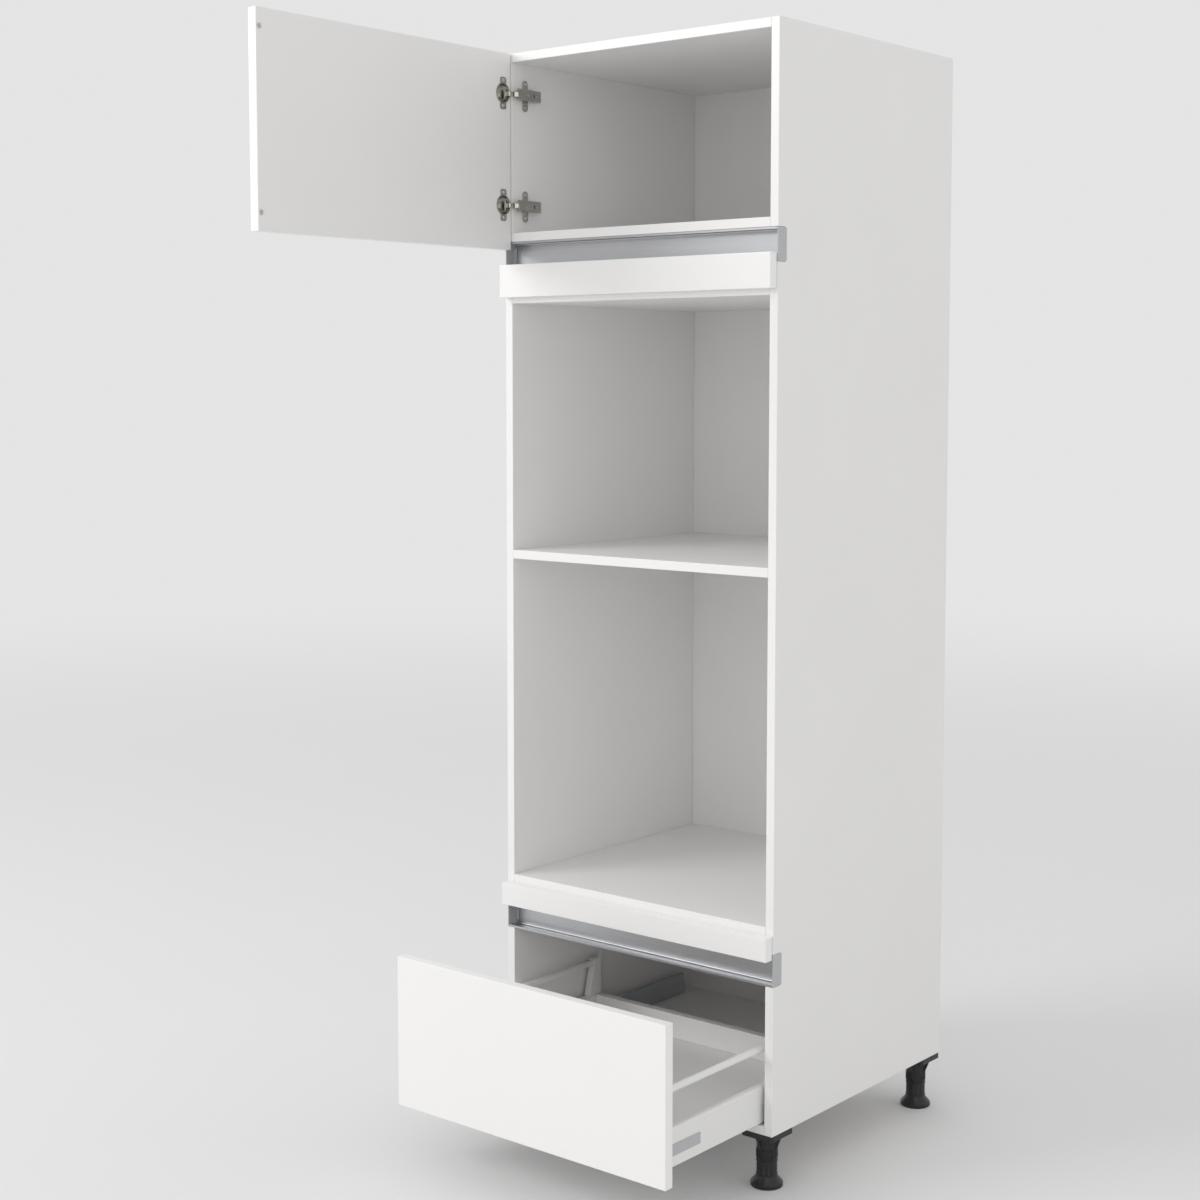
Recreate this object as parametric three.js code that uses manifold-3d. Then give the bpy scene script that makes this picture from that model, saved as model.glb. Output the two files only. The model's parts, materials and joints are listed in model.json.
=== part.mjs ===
// Tall oven housing unit: a free-standing kitchen carcass on four legs with two open
// appliance niches, a hinged door above them and an inset-runner drawer below.
//
// Millimetres, +Z up, +X to the right, the fronts face -Y. The origin is on the floor, at
// mid-width, in the plane of the closed fronts' faces. The unit is shown in use: the door
// stands open at a right angle and the drawer is drawn out.

import * as THREE from 'three';
import { mergeVertices } from 'three/addons/utils/BufferGeometryUtils.js';
import Module from 'manifold-3d';

const wasm = await Module();
wasm.setup();

// ---- Carcass ---------------------------------------------------------------------------------
const CABINET_WIDTH = 600;
const CABINET_DEPTH = 560;
const LEG_HEIGHT = 100;
const BOARD = 16;
const BACK_BOARD = 8;
const BACK_REBATE = 6;
const SEAT = 0.3; // clearance between pieces that bear on each other

// ---- Heights, stacked from the carcass bottom ------------------------------------------------
const DRAWER_FRONT_HEIGHT = 268;
const DRAWER_GRIP_OVERLAP = 10; // drawer front above the lower edge of its grip channel
const LOWER_FASCIA_HEIGHT = 41;
const LOWER_FASCIA_OVERLAP = 10; // fascia in front of the channel's upper edge
const NICHE_FLOOR_STEP = 14; // niche floor above the lower fascia
const OVEN_NICHE = 590;
const COMPACT_NICHE = 450;
const UPPER_FASCIA_STEP = 10; // upper fascia above the niche's ceiling
const UPPER_FASCIA_HEIGHT = 59;
const UPPER_FASCIA_OVERLAP = 15; // fascia in front of the channel's lower edge
const DOOR_GRIP_OVERLAP = 15; // door in front of the channel's upper edge
const COMPARTMENT_HEIGHT = 305;
const DOOR_TOP_REVEAL = 1;

// ---- Fronts ----------------------------------------------------------------------------------
const FRONT_BOARD = 19;
const FRONT_GAP = 3; // closed front to carcass
const FRONT_REVEAL = 2; // front narrower than the carcass, each side
const FRONT_EDGE_RADIUS = 1.5;

// ---- Grip channels ---------------------------------------------------------------------------
const CHANNEL_HEIGHT = 57;
const CHANNEL_DEPTH = 25;
const CHANNEL_WALL = 2;
const CHANNEL_LIP = 4;
const CHANNEL_CORNER = 5;
const CHANNEL_CAP = 2;
const CHANNEL_CAP_TONGUE = 6;

// ---- Door hinges -----------------------------------------------------------------------------
const PIVOT_FROM_EDGE = 7; // pin to the door's hinge edge
const PIVOT_FROM_FACE = 7; // pin to the door's inner face
const HINGE_TOP_INSET = 72;
const HINGE_BOTTOM_INSET = 80;
const CUP_RADIUS = 17.5;
const CUP_DEPTH = 12.5;
const CUP_WALL = 0.8;
const CUP_FROM_EDGE = 3; // rim of the cup to the door's hinge edge
const CUP_FLANGE_RADIUS = 18.3;
const CUP_WING_LENGTH = 57;
const CUP_WING_WIDTH = 16;
const PIN_RADIUS = 1.2;
const PIN_LENGTH = 15;
const PIN_PLAY = 0.3;
const EYE_RADIUS = 2.6;
const EYE_WIDTH = 8;
const ARM_SHEET = 2;
const ARM_BEND_RADIUS = 3.2;
const ARM_TONGUE_SLOPE = 8; // degrees, from the pin towards the cup's mouth
const ARM_TONGUE_REACH = 8.2;
const ARM_WIDTH = 20;
const ARM_START = 4; // behind the carcass front
const ARM_LENGTH = 60;
const ARM_HEIGHT = 10.9;
const PLATE_THICKNESS = 2.5;
const PLATE_WING_LENGTH = 56;
const PLATE_WING_WIDTH = 14;
const BUFFER_RADIUS = 4;
const BUFFER_HEIGHT = 2.2;
const BUFFER_FROM_END = 30;
const DOOR_OPEN_DEGREES = 90;

// ---- Drawer ----------------------------------------------------------------------------------
const DRAWER_OPEN = 270;
const DRAWER_LENGTH = 498;
const DRAWER_SIDE_GAP = 7; // drawer side to cabinet side
const DRAWER_SIDE_THICKNESS = 14;
const DRAWER_SIDE_HEIGHT = 64;
const DRAWER_SIDE_ROUND = 4;
const DRAWER_FLOOR_GAP = 4; // drawer side above the bottom board
const DRAWER_SHEET = 1.2;
const DRAWER_LEDGE = 12; // ledge that carries the drawer bottom
const DRAWER_BOARD = 16;
const RUNNER_WEB_HEIGHT = 40.4; // web of the drawer side that bears on the runner
const RUNNER_SHEET = 1.4;
const RUNNER_PLAY = 0.5;
const CABINET_RAIL_LENGTH = 500;
const CABINET_RAIL_START = 2; // behind the carcass front
const CABINET_RAIL_LIFT = 1; // above the bottom board
const CABINET_RAIL_HEIGHT = 33;
const MIDDLE_RAIL_LENGTH = 460;
const MIDDLE_RAIL_START = 8;
const MIDDLE_RAIL_LIFT = 8; // above the lower edge of the drawer side
const GALLERY_RAIL_RADIUS = 6;
const GALLERY_RAIL_HEIGHT = 126; // axis above the lower edge of the drawer side
const HOLDER_PLATE = 4;
const HOLDER_WIDTH = 16;
const HOLDER_HEIGHT = 26;
const HOLDER_BOSS_RADIUS = 8;
const HOLDER_BOSS_LENGTH = 10;
const HOLDER_SOCKET = 8;
const REAR_HOLDER_FOOT = 34;
const REAR_HOLDER_HEAD = 20;
const BRACKET_PLATE = 2.5;
const BRACKET_TONGUE = 40;
const SIDE_CAP_LENGTH = 97;
const SIDE_CAP_HEIGHT = 19;
const SIDE_CAP_THICKNESS = 1.2;
const SIDE_CAP_LIFT = 18;

// ---- Legs ------------------------------------------------------------------------------------
const LEG_FLANGE = 65;
const LEG_FLANGE_THICKNESS = 10;
const LEG_FLANGE_CORNER = 6;
const LEG_TUBE_RADIUS = 18;
const LEG_SPLIT_HEIGHT = 48; // joint line between foot and socket
const LEG_SCREW_RADIUS = 12;
const LEG_SCREW_LENGTH = 36;
const LEG_COLLAR = 3;
const GUSSET_THICKNESS = 3;
const GUSSET_DROP = 24; // below the flange
const GRIP_FLUTES = 12;
const FLUTE_RADIUS = 2.5;
const GRIP_LAND = 5; // plain band above and below the flutes
const FOOT_RADIUS = 28;
const FOOT_CHAMFER = 1;
const FOOT_DISC = 7;
const FOOT_CONE_TOP = 18;

// ---- Facets ----------------------------------------------------------------------------------
const ROUND_SEGMENTS = 24;
const PIN_SEGMENTS = 16;
const FLUTE_SEGMENTS = 8;
const CORNER_SEGMENTS = 4;
const SAME_POINT = 1e-3;

// ---- Places worked out from the sizes above --------------------------------------------------
const halfWidth = CABINET_WIDTH / 2;
const innerHalf = halfWidth - BOARD;
const frontHalf = halfWidth - FRONT_REVEAL;
const carcassFront = FRONT_BOARD + FRONT_GAP;
const carcassRear = carcassFront + CABINET_DEPTH;
const backFront = carcassRear - BACK_BOARD;

const carcassBottom = LEG_HEIGHT;
const bottomBoardTop = carcassBottom + BOARD;
const drawerFrontTop = carcassBottom + DRAWER_FRONT_HEIGHT;
const lowerChannelBottom = drawerFrontTop - DRAWER_GRIP_OVERLAP;
const lowerChannelTop = lowerChannelBottom + CHANNEL_HEIGHT;
const lowerFasciaBottom = lowerChannelTop - LOWER_FASCIA_OVERLAP;
const lowerFasciaTop = lowerFasciaBottom + LOWER_FASCIA_HEIGHT;
const ovenNicheFloor = lowerFasciaTop + NICHE_FLOOR_STEP;
const ovenNicheTop = ovenNicheFloor + OVEN_NICHE;
const compactNicheFloor = ovenNicheTop + BOARD;
const compactNicheTop = compactNicheFloor + COMPACT_NICHE;
const upperFasciaBottom = compactNicheTop + UPPER_FASCIA_STEP;
const upperFasciaTop = upperFasciaBottom + UPPER_FASCIA_HEIGHT;
const upperChannelBottom = upperFasciaTop - UPPER_FASCIA_OVERLAP;
const upperChannelTop = upperChannelBottom + CHANNEL_HEIGHT;
const doorBottom = upperChannelTop - DOOR_GRIP_OVERLAP;
const compartmentFloor = upperChannelTop + BOARD;
const compartmentTop = compartmentFloor + COMPARTMENT_HEIGHT;
const carcassTop = compartmentTop + BOARD;
const doorTop = carcassTop - DOOR_TOP_REVEAL;

const pivotX = -frontHalf + PIVOT_FROM_EDGE;
const pivotY = FRONT_BOARD - PIVOT_FROM_FACE;
const cupX = -frontHalf + CUP_FROM_EDGE + CUP_RADIUS;
const hingeHeights = [doorTop - HINGE_TOP_INSET, doorBottom + HINGE_BOTTOM_INSET];

const sideOuter = innerHalf - DRAWER_SIDE_GAP;
const sideInner = sideOuter - DRAWER_SIDE_THICKNESS;
const drawerSideBottom = bottomBoardTop + DRAWER_FLOOR_GAP;
const drawerSideTop = drawerSideBottom + DRAWER_SIDE_HEIGHT;
const runnerWeb = drawerSideBottom + RUNNER_WEB_HEIGHT;
const bracketFront = FRONT_BOARD + SEAT;
const drawerSideFront = bracketFront + BRACKET_PLATE + SEAT;
const drawerSideRear = drawerSideFront + DRAWER_LENGTH;
const drawerFloorBottom = drawerSideBottom + DRAWER_SHEET + SEAT;
const drawerFloorTop = drawerFloorBottom + DRAWER_BOARD;
const galleryX = (sideOuter + sideInner) / 2;
const galleryZ = drawerSideBottom + GALLERY_RAIL_HEIGHT;

// ---- Finishes --------------------------------------------------------------------------------
const finishes = {
  whiteMelamine: { color: 0xf1f1ee, roughness: 0.55, metalness: 0 },
  whiteFront: { color: 0xf6f6f4, roughness: 0.4, metalness: 0 },
  anodised: { color: 0xc7c8ca, roughness: 0.35, metalness: 0.9 },
  greyPlastic: { color: 0xbfc0c2, roughness: 0.5, metalness: 0 },
  nickel: { color: 0xc9c7c2, roughness: 0.25, metalness: 1 },
  whiteSteel: { color: 0xeeeeec, roughness: 0.35, metalness: 0.1 },
  zinc: { color: 0xb9bdbf, roughness: 0.4, metalness: 0.9 },
  clearRubber: { color: 0xdadad6, roughness: 0.6, metalness: 0 },
  blackPlastic: { color: 0x1d1d1f, roughness: 0.5, metalness: 0 },
};

// ---- Solids ----------------------------------------------------------------------------------

// Keeps positions only, shares the vertices and drops the triangles without area that a
// turned profile has on its axis, so that the surface is closed.
function weld(geometry) {
  const bare = geometry.clone();
  bare.deleteAttribute('normal');
  bare.deleteAttribute('uv');
  const merged = mergeVertices(bare, 1e-4);
  const kept = [];
  for (let i = 0; i < merged.index.count; i += 3) {
    const corners = [0, 1, 2].map((corner) => merged.index.getX(i + corner));
    if (new Set(corners).size === 3) {
      kept.push(...corners);
    }
  }
  merged.setIndex(kept);
  return merged;
}

// Six times the signed volume; negative when the faces point inwards.
function signedVolume(geometry) {
  const [a, b, c] = [new THREE.Vector3(), new THREE.Vector3(), new THREE.Vector3()];
  const { index } = geometry;
  const { position } = geometry.attributes;
  let sum = 0;
  for (let i = 0; i < index.count; i += 3) {
    a.fromBufferAttribute(position, index.getX(i));
    b.fromBufferAttribute(position, index.getX(i + 1));
    c.fromBufferAttribute(position, index.getX(i + 2));
    sum += a.dot(b.cross(c));
  }
  return sum;
}

function facingOut(geometry) {
  const welded = weld(geometry);
  if (signedVolume(welded) < 0) {
    welded.index.array.reverse();
  }
  return welded;
}

function toManifold(geometry) {
  const welded = facingOut(geometry);
  const mesh = new wasm.Mesh({
    numProp: 3,
    vertProperties: new Float32Array(welded.attributes.position.array),
    triVerts: new Uint32Array(welded.index.array),
  });
  return new wasm.Manifold(mesh);
}

function fromManifold(manifold) {
  const mesh = manifold.getMesh();
  const geometry = new THREE.BufferGeometry();
  geometry.setAttribute('position', new THREE.BufferAttribute(mesh.vertProperties, 3));
  geometry.setIndex(new THREE.BufferAttribute(mesh.triVerts, 1));
  return geometry;
}

function join(...geometries) {
  return fromManifold(geometries.map(toManifold).reduce((sum, next) => sum.add(next)));
}

function cut(base, ...tools) {
  return fromManifold(tools.map(toManifold).reduce((rest, tool) => rest.subtract(tool), toManifold(base)));
}

function box([x0, x1], [y0, y1], [z0, z1]) {
  const geometry = new THREE.BoxGeometry(x1 - x0, y1 - y0, z1 - z0);
  return geometry.translate((x0 + x1) / 2, (y0 + y1) / 2, (z0 + z1) / 2);
}

// An outline's points, without the second of any two where an arc starts on a line's end.
function ring(path) {
  const points = path.getPoints(CORNER_SEGMENTS);
  return points.filter((point, i) => {
    const next = points[(i + 1) % points.length];
    return point.distanceTo(next) > SAME_POINT;
  });
}

function extrude(shape, length) {
  const clean = new THREE.Shape(ring(shape));
  clean.holes = shape.holes.map((hole) => new THREE.Path(ring(hole)));
  return new THREE.ExtrudeGeometry(clean, { depth: length, bevelEnabled: false });
}

// The outline lies in the YZ plane and runs along X.
function extrudeAlongX(shape, [x0, x1]) {
  const turn = new THREE.Matrix4().makeBasis(
    new THREE.Vector3(0, 1, 0),
    new THREE.Vector3(0, 0, 1),
    new THREE.Vector3(1, 0, 0),
  );
  return extrude(shape, x1 - x0).applyMatrix4(turn).translate(x0, 0, 0);
}

// The outline lies in the XZ plane and runs along Y.
function extrudeAlongY(shape, [y0, y1]) {
  return extrude(shape, y1 - y0).rotateX(Math.PI / 2).translate(0, y1, 0);
}

// The outline lies in the XY plane and runs along Z.
function extrudeAlongZ(shape, [z0, z1]) {
  return extrude(shape, z1 - z0).translate(0, 0, z0);
}

// A profile of [radius, height] points turned about the Z axis through (x, y).
function revolveZ(profile, x, y) {
  const points = profile.map(([radius, height]) => new THREE.Vector2(radius, height));
  return new THREE.LatheGeometry(points, ROUND_SEGMENTS).rotateX(Math.PI / 2).translate(x, y, 0);
}

// A profile of [radius, depth] points turned about the Y axis through (x, z).
function revolveY(profile, x, z) {
  const points = profile.map(([radius, depth]) => new THREE.Vector2(radius, depth));
  return new THREE.LatheGeometry(points, ROUND_SEGMENTS).translate(x, 0, z);
}

function rodAlongY(radius, [y0, y1], x, z, segments = ROUND_SEGMENTS) {
  const rod = new THREE.CylinderGeometry(radius, radius, y1 - y0, segments);
  return rod.translate(x, (y0 + y1) / 2, z);
}

function rodAlongZ(radius, [z0, z1], x, y, segments = ROUND_SEGMENTS) {
  const rod = new THREE.CylinderGeometry(radius, radius, z1 - z0, segments);
  return rod.rotateX(Math.PI / 2).translate(x, y, (z0 + z1) / 2);
}

function polygon(points) {
  return new THREE.Shape(points.map(([x, y]) => new THREE.Vector2(x, y)));
}

function roundedRectangle([x0, x1], [y0, y1], radius) {
  const shape = new THREE.Shape();
  shape.absarc(x1 - radius, y0 + radius, radius, -Math.PI / 2, 0, false);
  shape.absarc(x1 - radius, y1 - radius, radius, 0, Math.PI / 2, false);
  shape.absarc(x0 + radius, y1 - radius, radius, Math.PI / 2, Math.PI, false);
  shape.absarc(x0 + radius, y0 + radius, radius, Math.PI, 1.5 * Math.PI, false);
  shape.closePath();
  return shape;
}

// A strip of constant thickness whose middle follows the path.
function strip(path, thickness) {
  const middle = ring(path);
  const offset = (side) => middle.map((point, i) => {
    const before = middle[Math.max(i - 1, 0)];
    const after = middle[Math.min(i + 1, middle.length - 1)];
    const along = after.clone().sub(before).normalize();
    const across = new THREE.Vector2(along.y, -along.x);
    return point.clone().addScaledVector(across, (side * thickness) / 2);
  });
  return new THREE.Shape([...offset(1), ...offset(-1).reverse()]);
}

// The right-hand copy of a solid made for the left, or the other way round.
function mirrored(geometry) {
  return facingOut(geometry.clone().scale(-1, 1, 1));
}

// ---- Scene graph -----------------------------------------------------------------------------
const cabinet = new THREE.Group();

// The door group turns about the hinge pins; its pieces are drawn in the closed place.
const doorTurn = new THREE.Group();
doorTurn.position.set(pivotX, pivotY, 0);
doorTurn.rotation.z = -THREE.MathUtils.degToRad(DOOR_OPEN_DEGREES);
const door = new THREE.Group();
door.position.set(-pivotX, -pivotY, 0);
doorTurn.add(door);
cabinet.add(doorTurn);

// The drawer group is drawn closed and pulled out; the middle rails follow by half.
const drawer = new THREE.Group();
drawer.position.y = -DRAWER_OPEN;
cabinet.add(drawer);
const middleRails = new THREE.Group();
middleRails.position.y = -DRAWER_OPEN / 2;
cabinet.add(middleRails);

function piece(name, geometry, finish, parent = cabinet) {
  const mesh = new THREE.Mesh(facingOut(geometry), new THREE.MeshStandardMaterial(finishes[finish]));
  mesh.geometry.computeVertexNormals();
  mesh.name = name;
  parent.add(mesh);
}

function leftAndRight(name, rightGeometry, finish, parent = cabinet) {
  piece(`${name}_right`, rightGeometry, finish, parent);
  piece(`${name}_left`, mirrored(rightGeometry), finish, parent);
}

// ---- Carcass boards --------------------------------------------------------------------------

// Side outline seen along X, with a routed notch in the front edge for each grip channel.
function sideOutline() {
  const notchBack = carcassFront + CHANNEL_DEPTH;
  const shape = new THREE.Shape();
  shape.moveTo(carcassFront, carcassBottom);
  shape.lineTo(carcassRear, carcassBottom);
  shape.lineTo(carcassRear, carcassTop);
  shape.lineTo(carcassFront, carcassTop);
  for (const notchTop of [upperChannelTop, lowerChannelTop]) {
    const notchBottom = notchTop - CHANNEL_HEIGHT;
    const centreY = notchBack - CHANNEL_CORNER;
    shape.lineTo(carcassFront, notchTop);
    shape.absarc(centreY, notchTop - CHANNEL_CORNER, CHANNEL_CORNER, Math.PI / 2, 0, true);
    shape.absarc(centreY, notchBottom + CHANNEL_CORNER, CHANNEL_CORNER, 0, -Math.PI / 2, true);
    shape.lineTo(carcassFront, notchBottom);
  }
  shape.closePath();
  return shape;
}

function buildSides() {
  const panel = extrudeAlongX(sideOutline(), [innerHalf, halfWidth]);
  const rebate = box(
    [innerHalf - BOARD, innerHalf + BACK_REBATE],
    [backFront - SEAT, carcassRear + BACK_BOARD],
    [carcassBottom - BOARD, carcassTop + BOARD],
  );
  leftAndRight('side', cut(panel, rebate), 'whiteMelamine');
}

function buildShelves() {
  const undersides = {
    bottom_board: carcassBottom,
    niche_floor_board: ovenNicheFloor - BOARD,
    niche_shelf: ovenNicheTop,
    niche_top_board: compactNicheTop,
    compartment_floor: upperChannelTop,
    top_board: compartmentTop,
  };
  const across = [-innerHalf + SEAT, innerHalf - SEAT];
  for (const [name, underside] of Object.entries(undersides)) {
    const board = box(across, [carcassFront, backFront - SEAT], [underside, underside + BOARD]);
    piece(name, board, 'whiteMelamine');
  }
}

function buildBackPanel() {
  const reach = innerHalf + BACK_REBATE - SEAT;
  const panel = box([-reach, reach], [backFront, carcassRear], [carcassBottom, carcassTop]);
  piece('back_panel', panel, 'whiteMelamine');
}

// Stretchers on edge behind the fascias; they take the fascia screws and stop the channels.
function buildCrossRails() {
  const heights = {
    cross_rail_lower: [lowerChannelTop + SEAT, ovenNicheFloor - BOARD - SEAT],
    cross_rail_upper: [compactNicheTop + BOARD + SEAT, upperChannelBottom - SEAT],
  };
  const across = [-innerHalf + SEAT, innerHalf - SEAT];
  for (const [name, height] of Object.entries(heights)) {
    piece(name, box(across, [carcassFront, carcassFront + BOARD], height), 'whiteMelamine');
  }
}

// ---- Grip channels ---------------------------------------------------------------------------

// Outer outline of a channel seen along X, open towards the front.
function channelOutline([z0, z1]) {
  const back = carcassFront + CHANNEL_DEPTH - SEAT;
  const inside = CHANNEL_CORNER - CHANNEL_WALL;
  const centreY = back - CHANNEL_CORNER;
  const shape = new THREE.Shape();
  shape.moveTo(carcassFront, z0 + CHANNEL_LIP);
  shape.lineTo(carcassFront, z0);
  shape.absarc(centreY, z0 + CHANNEL_CORNER, CHANNEL_CORNER, -Math.PI / 2, 0, false);
  shape.absarc(centreY, z1 - CHANNEL_CORNER, CHANNEL_CORNER, 0, Math.PI / 2, false);
  shape.lineTo(carcassFront, z1);
  shape.lineTo(carcassFront, z1 - CHANNEL_LIP);
  shape.lineTo(carcassFront + CHANNEL_WALL, z1 - CHANNEL_LIP);
  shape.lineTo(carcassFront + CHANNEL_WALL, z1 - CHANNEL_WALL);
  shape.absarc(centreY, z1 - CHANNEL_CORNER, inside, Math.PI / 2, 0, true);
  shape.absarc(centreY, z0 + CHANNEL_CORNER, inside, 0, -Math.PI / 2, true);
  shape.lineTo(carcassFront + CHANNEL_WALL, z0 + CHANNEL_WALL);
  shape.lineTo(carcassFront + CHANNEL_WALL, z0 + CHANNEL_LIP);
  shape.closePath();
  return shape;
}

// A moulded plate over the channel's end, with a tongue that clips inside its back wall.
function channelCap([z0, z1]) {
  const back = carcassFront + CHANNEL_DEPTH - SEAT;
  const centreY = back - CHANNEL_CORNER;
  const outer = new THREE.Shape();
  outer.moveTo(carcassFront, z1);
  outer.lineTo(carcassFront, z0);
  outer.absarc(centreY, z0 + CHANNEL_CORNER, CHANNEL_CORNER, -Math.PI / 2, 0, false);
  outer.absarc(centreY, z1 - CHANNEL_CORNER, CHANNEL_CORNER, 0, Math.PI / 2, false);
  outer.closePath();
  const plate = extrudeAlongX(outer, [halfWidth - CHANNEL_CAP + SEAT, halfWidth]);
  const tongueBack = back - CHANNEL_WALL - SEAT;
  const tongue = box(
    [halfWidth - CHANNEL_CAP - CHANNEL_CAP_TONGUE, halfWidth - CHANNEL_CAP / 2],
    [tongueBack - CHANNEL_CAP, tongueBack],
    [z0 + 2 * CHANNEL_CORNER, z1 - 2 * CHANNEL_CORNER],
  );
  return join(plate, tongue);
}

function buildChannel(name, bottom) {
  const height = [bottom + SEAT, bottom + CHANNEL_HEIGHT - SEAT];
  const length = [-halfWidth + CHANNEL_CAP, halfWidth - CHANNEL_CAP];
  piece(name, extrudeAlongX(channelOutline(height), length), 'anodised');
  leftAndRight(`${name}_cap`, channelCap(height), 'greyPlastic');
}

// ---- Fronts ----------------------------------------------------------------------------------

// A front board with its upright edges rounded, its face at the given depth.
function frontBoard(face, height) {
  const outline = roundedRectangle([-frontHalf, frontHalf], [face, face + FRONT_BOARD], FRONT_EDGE_RADIUS);
  return extrudeAlongZ(outline, height);
}

function buildFascias() {
  const face = carcassFront - SEAT - FRONT_BOARD;
  piece('fascia_lower', frontBoard(face, [lowerFasciaBottom, lowerFasciaTop]), 'whiteFront');
  piece('fascia_upper', frontBoard(face, [upperFasciaBottom, upperFasciaTop]), 'whiteFront');
}

function buildDoorPanel() {
  const pockets = hingeHeights.map((height) => {
    const depth = [FRONT_BOARD - CUP_DEPTH - SEAT, FRONT_BOARD + CUP_DEPTH];
    return rodAlongY(CUP_RADIUS + SEAT, depth, cupX, height);
  });
  piece('door_panel', cut(frontBoard(0, [doorBottom, doorTop]), ...pockets), 'whiteFront', door);
}

function buildDoorBuffers() {
  const seat = FRONT_BOARD + SEAT;
  const profile = [
    [0, seat],
    [BUFFER_RADIUS, seat],
    [BUFFER_RADIUS, seat + BUFFER_HEIGHT / 2],
    [BUFFER_RADIUS / 2, seat + BUFFER_HEIGHT],
    [0, seat + BUFFER_HEIGHT],
  ];
  const x = halfWidth - BOARD / 2;
  const heights = { upper: doorTop - BUFFER_FROM_END, lower: doorBottom + BUFFER_FROM_END };
  for (const [place, height] of Object.entries(heights)) {
    piece(`door_buffer_${place}`, revolveY(profile, x, height), 'clearRubber', door);
  }
}

// ---- Hinges ----------------------------------------------------------------------------------

// Pressed cup with a round rim and two screw wings that lie on the door's inner face.
function buildHingeCup(place, height) {
  const rim = FRONT_BOARD + SEAT;
  const bottom = FRONT_BOARD - CUP_DEPTH;
  const bore = CUP_RADIUS - CUP_WALL;
  const cup = revolveY([
    [0, bottom],
    [CUP_RADIUS - CUP_WALL, bottom],
    [CUP_RADIUS, bottom + CUP_WALL],
    [CUP_RADIUS, rim],
    [CUP_FLANGE_RADIUS, rim],
    [CUP_FLANGE_RADIUS, rim + CUP_WALL],
    [bore, rim + CUP_WALL],
    [bore, bottom + 2 * CUP_WALL],
    [bore - CUP_WALL, bottom + CUP_WALL],
    [0, bottom + CUP_WALL],
  ], cupX, height);
  const halfLength = CUP_WING_LENGTH / 2;
  const halfWing = CUP_WING_WIDTH / 2;
  const outline = roundedRectangle(
    [cupX - halfWing, cupX + halfWing],
    [height - halfLength, height + halfLength],
    halfWing / 2,
  );
  const wings = extrudeAlongY(outline, [rim, rim + CUP_WALL]);
  const mouth = rodAlongY(CUP_RADIUS - CUP_WALL / 2, [0, 2 * FRONT_BOARD], cupX, height);
  piece(`hinge_cup_${place}`, join(cup, cut(wings, mouth)), 'nickel', door);
}

function buildHingePin(place, height) {
  const length = [height - PIN_LENGTH / 2, height + PIN_LENGTH / 2];
  const pin = rodAlongZ(PIN_RADIUS, length, pivotX, pivotY, PIN_SEGMENTS);
  piece(`hinge_pin_${place}`, pin, 'nickel', door);
}

// Where the hinge's fixed parts stand on the left side panel.
const plateFace = -innerHalf + SEAT;
const armBase = plateFace + PLATE_THICKNESS + SEAT;
const armTop = armBase + ARM_HEIGHT;
const armFront = carcassFront + ARM_START;
const armRear = armFront + ARM_LENGTH;
const armSlot = ARM_WIDTH / 2 - ARM_SHEET;

// The gooseneck: an eye round the pin, a tongue out of the cup's mouth and a bend that
// clears the door's edge at every angle before it rises to the arm's web.
function armGooseneck(height) {
  const slope = THREE.MathUtils.degToRad(ARM_TONGUE_SLOPE);
  const [cos, sin] = [Math.cos(slope), Math.sin(slope)];
  const tongueEnd = [pivotX + ARM_TONGUE_REACH * cos, pivotY - ARM_TONGUE_REACH * sin];
  const bendX = tongueEnd[0] + ARM_BEND_RADIUS * sin;
  const bendY = tongueEnd[1] + ARM_BEND_RADIUS * cos;
  const rootRadius = EYE_RADIUS - PIN_PLAY;
  const path = new THREE.Path();
  path.moveTo(pivotX + rootRadius * cos, pivotY - rootRadius * sin);
  path.lineTo(...tongueEnd);
  path.absarc(bendX, bendY, ARM_BEND_RADIUS, -Math.PI / 2 - slope, 0, false);
  path.lineTo(bendX + ARM_BEND_RADIUS, carcassFront + ARM_SHEET);
  path.lineTo(armTop - ARM_SHEET / 2, armFront + ARM_HEIGHT / 2);
  path.lineTo(armTop - ARM_SHEET / 2, armFront + ARM_HEIGHT);
  const span = [height - EYE_WIDTH / 2, height + EYE_WIDTH / 2];
  const eye = rodAlongZ(EYE_RADIUS, span, pivotX, pivotY, PIN_SEGMENTS);
  const bore = rodAlongZ(
    PIN_RADIUS + PIN_PLAY,
    [height - EYE_WIDTH, height + EYE_WIDTH],
    pivotX,
    pivotY,
    PIN_SEGMENTS,
  );
  return cut(join(eye, extrudeAlongZ(strip(path, ARM_SHEET), span)), bore);
}

// The arm is a folded channel over the mounting plate, with a slot for its fixing screw.
function buildHingeArm(place, height) {
  const armHeights = [height - ARM_WIDTH / 2, height + ARM_WIDTH / 2];
  const shell = box([armBase, armTop], [armFront, armRear], armHeights);
  const hollow = box(
    [armBase - ARM_SHEET, armTop - ARM_SHEET],
    [armFront - ARM_SHEET, armRear + ARM_SHEET],
    [height - armSlot, height + armSlot],
  );
  const noseCut = polygon([
    [armBase - ARM_SHEET, armFront - ARM_SHEET],
    [armTop - ARM_SHEET, armFront - ARM_SHEET],
    [armBase - ARM_SHEET, armFront + ARM_HEIGHT],
  ]);
  const nose = extrudeAlongZ(noseCut, [height - ARM_WIDTH, height + ARM_WIDTH]);
  const slot = roundedRectangle(
    [armRear - ARM_LENGTH / 3, armRear - ARM_SHEET * 3],
    [height - ARM_SHEET * 1.5, height + ARM_SHEET * 1.5],
    ARM_SHEET,
  );
  const slotCutter = extrudeAlongX(slot, [armTop - ARM_SHEET * 2, armTop + ARM_SHEET]);
  const channel = cut(shell, hollow, nose, slotCutter);
  piece(`hinge_arm_${place}`, join(channel, armGooseneck(height)), 'nickel');
}

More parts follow.
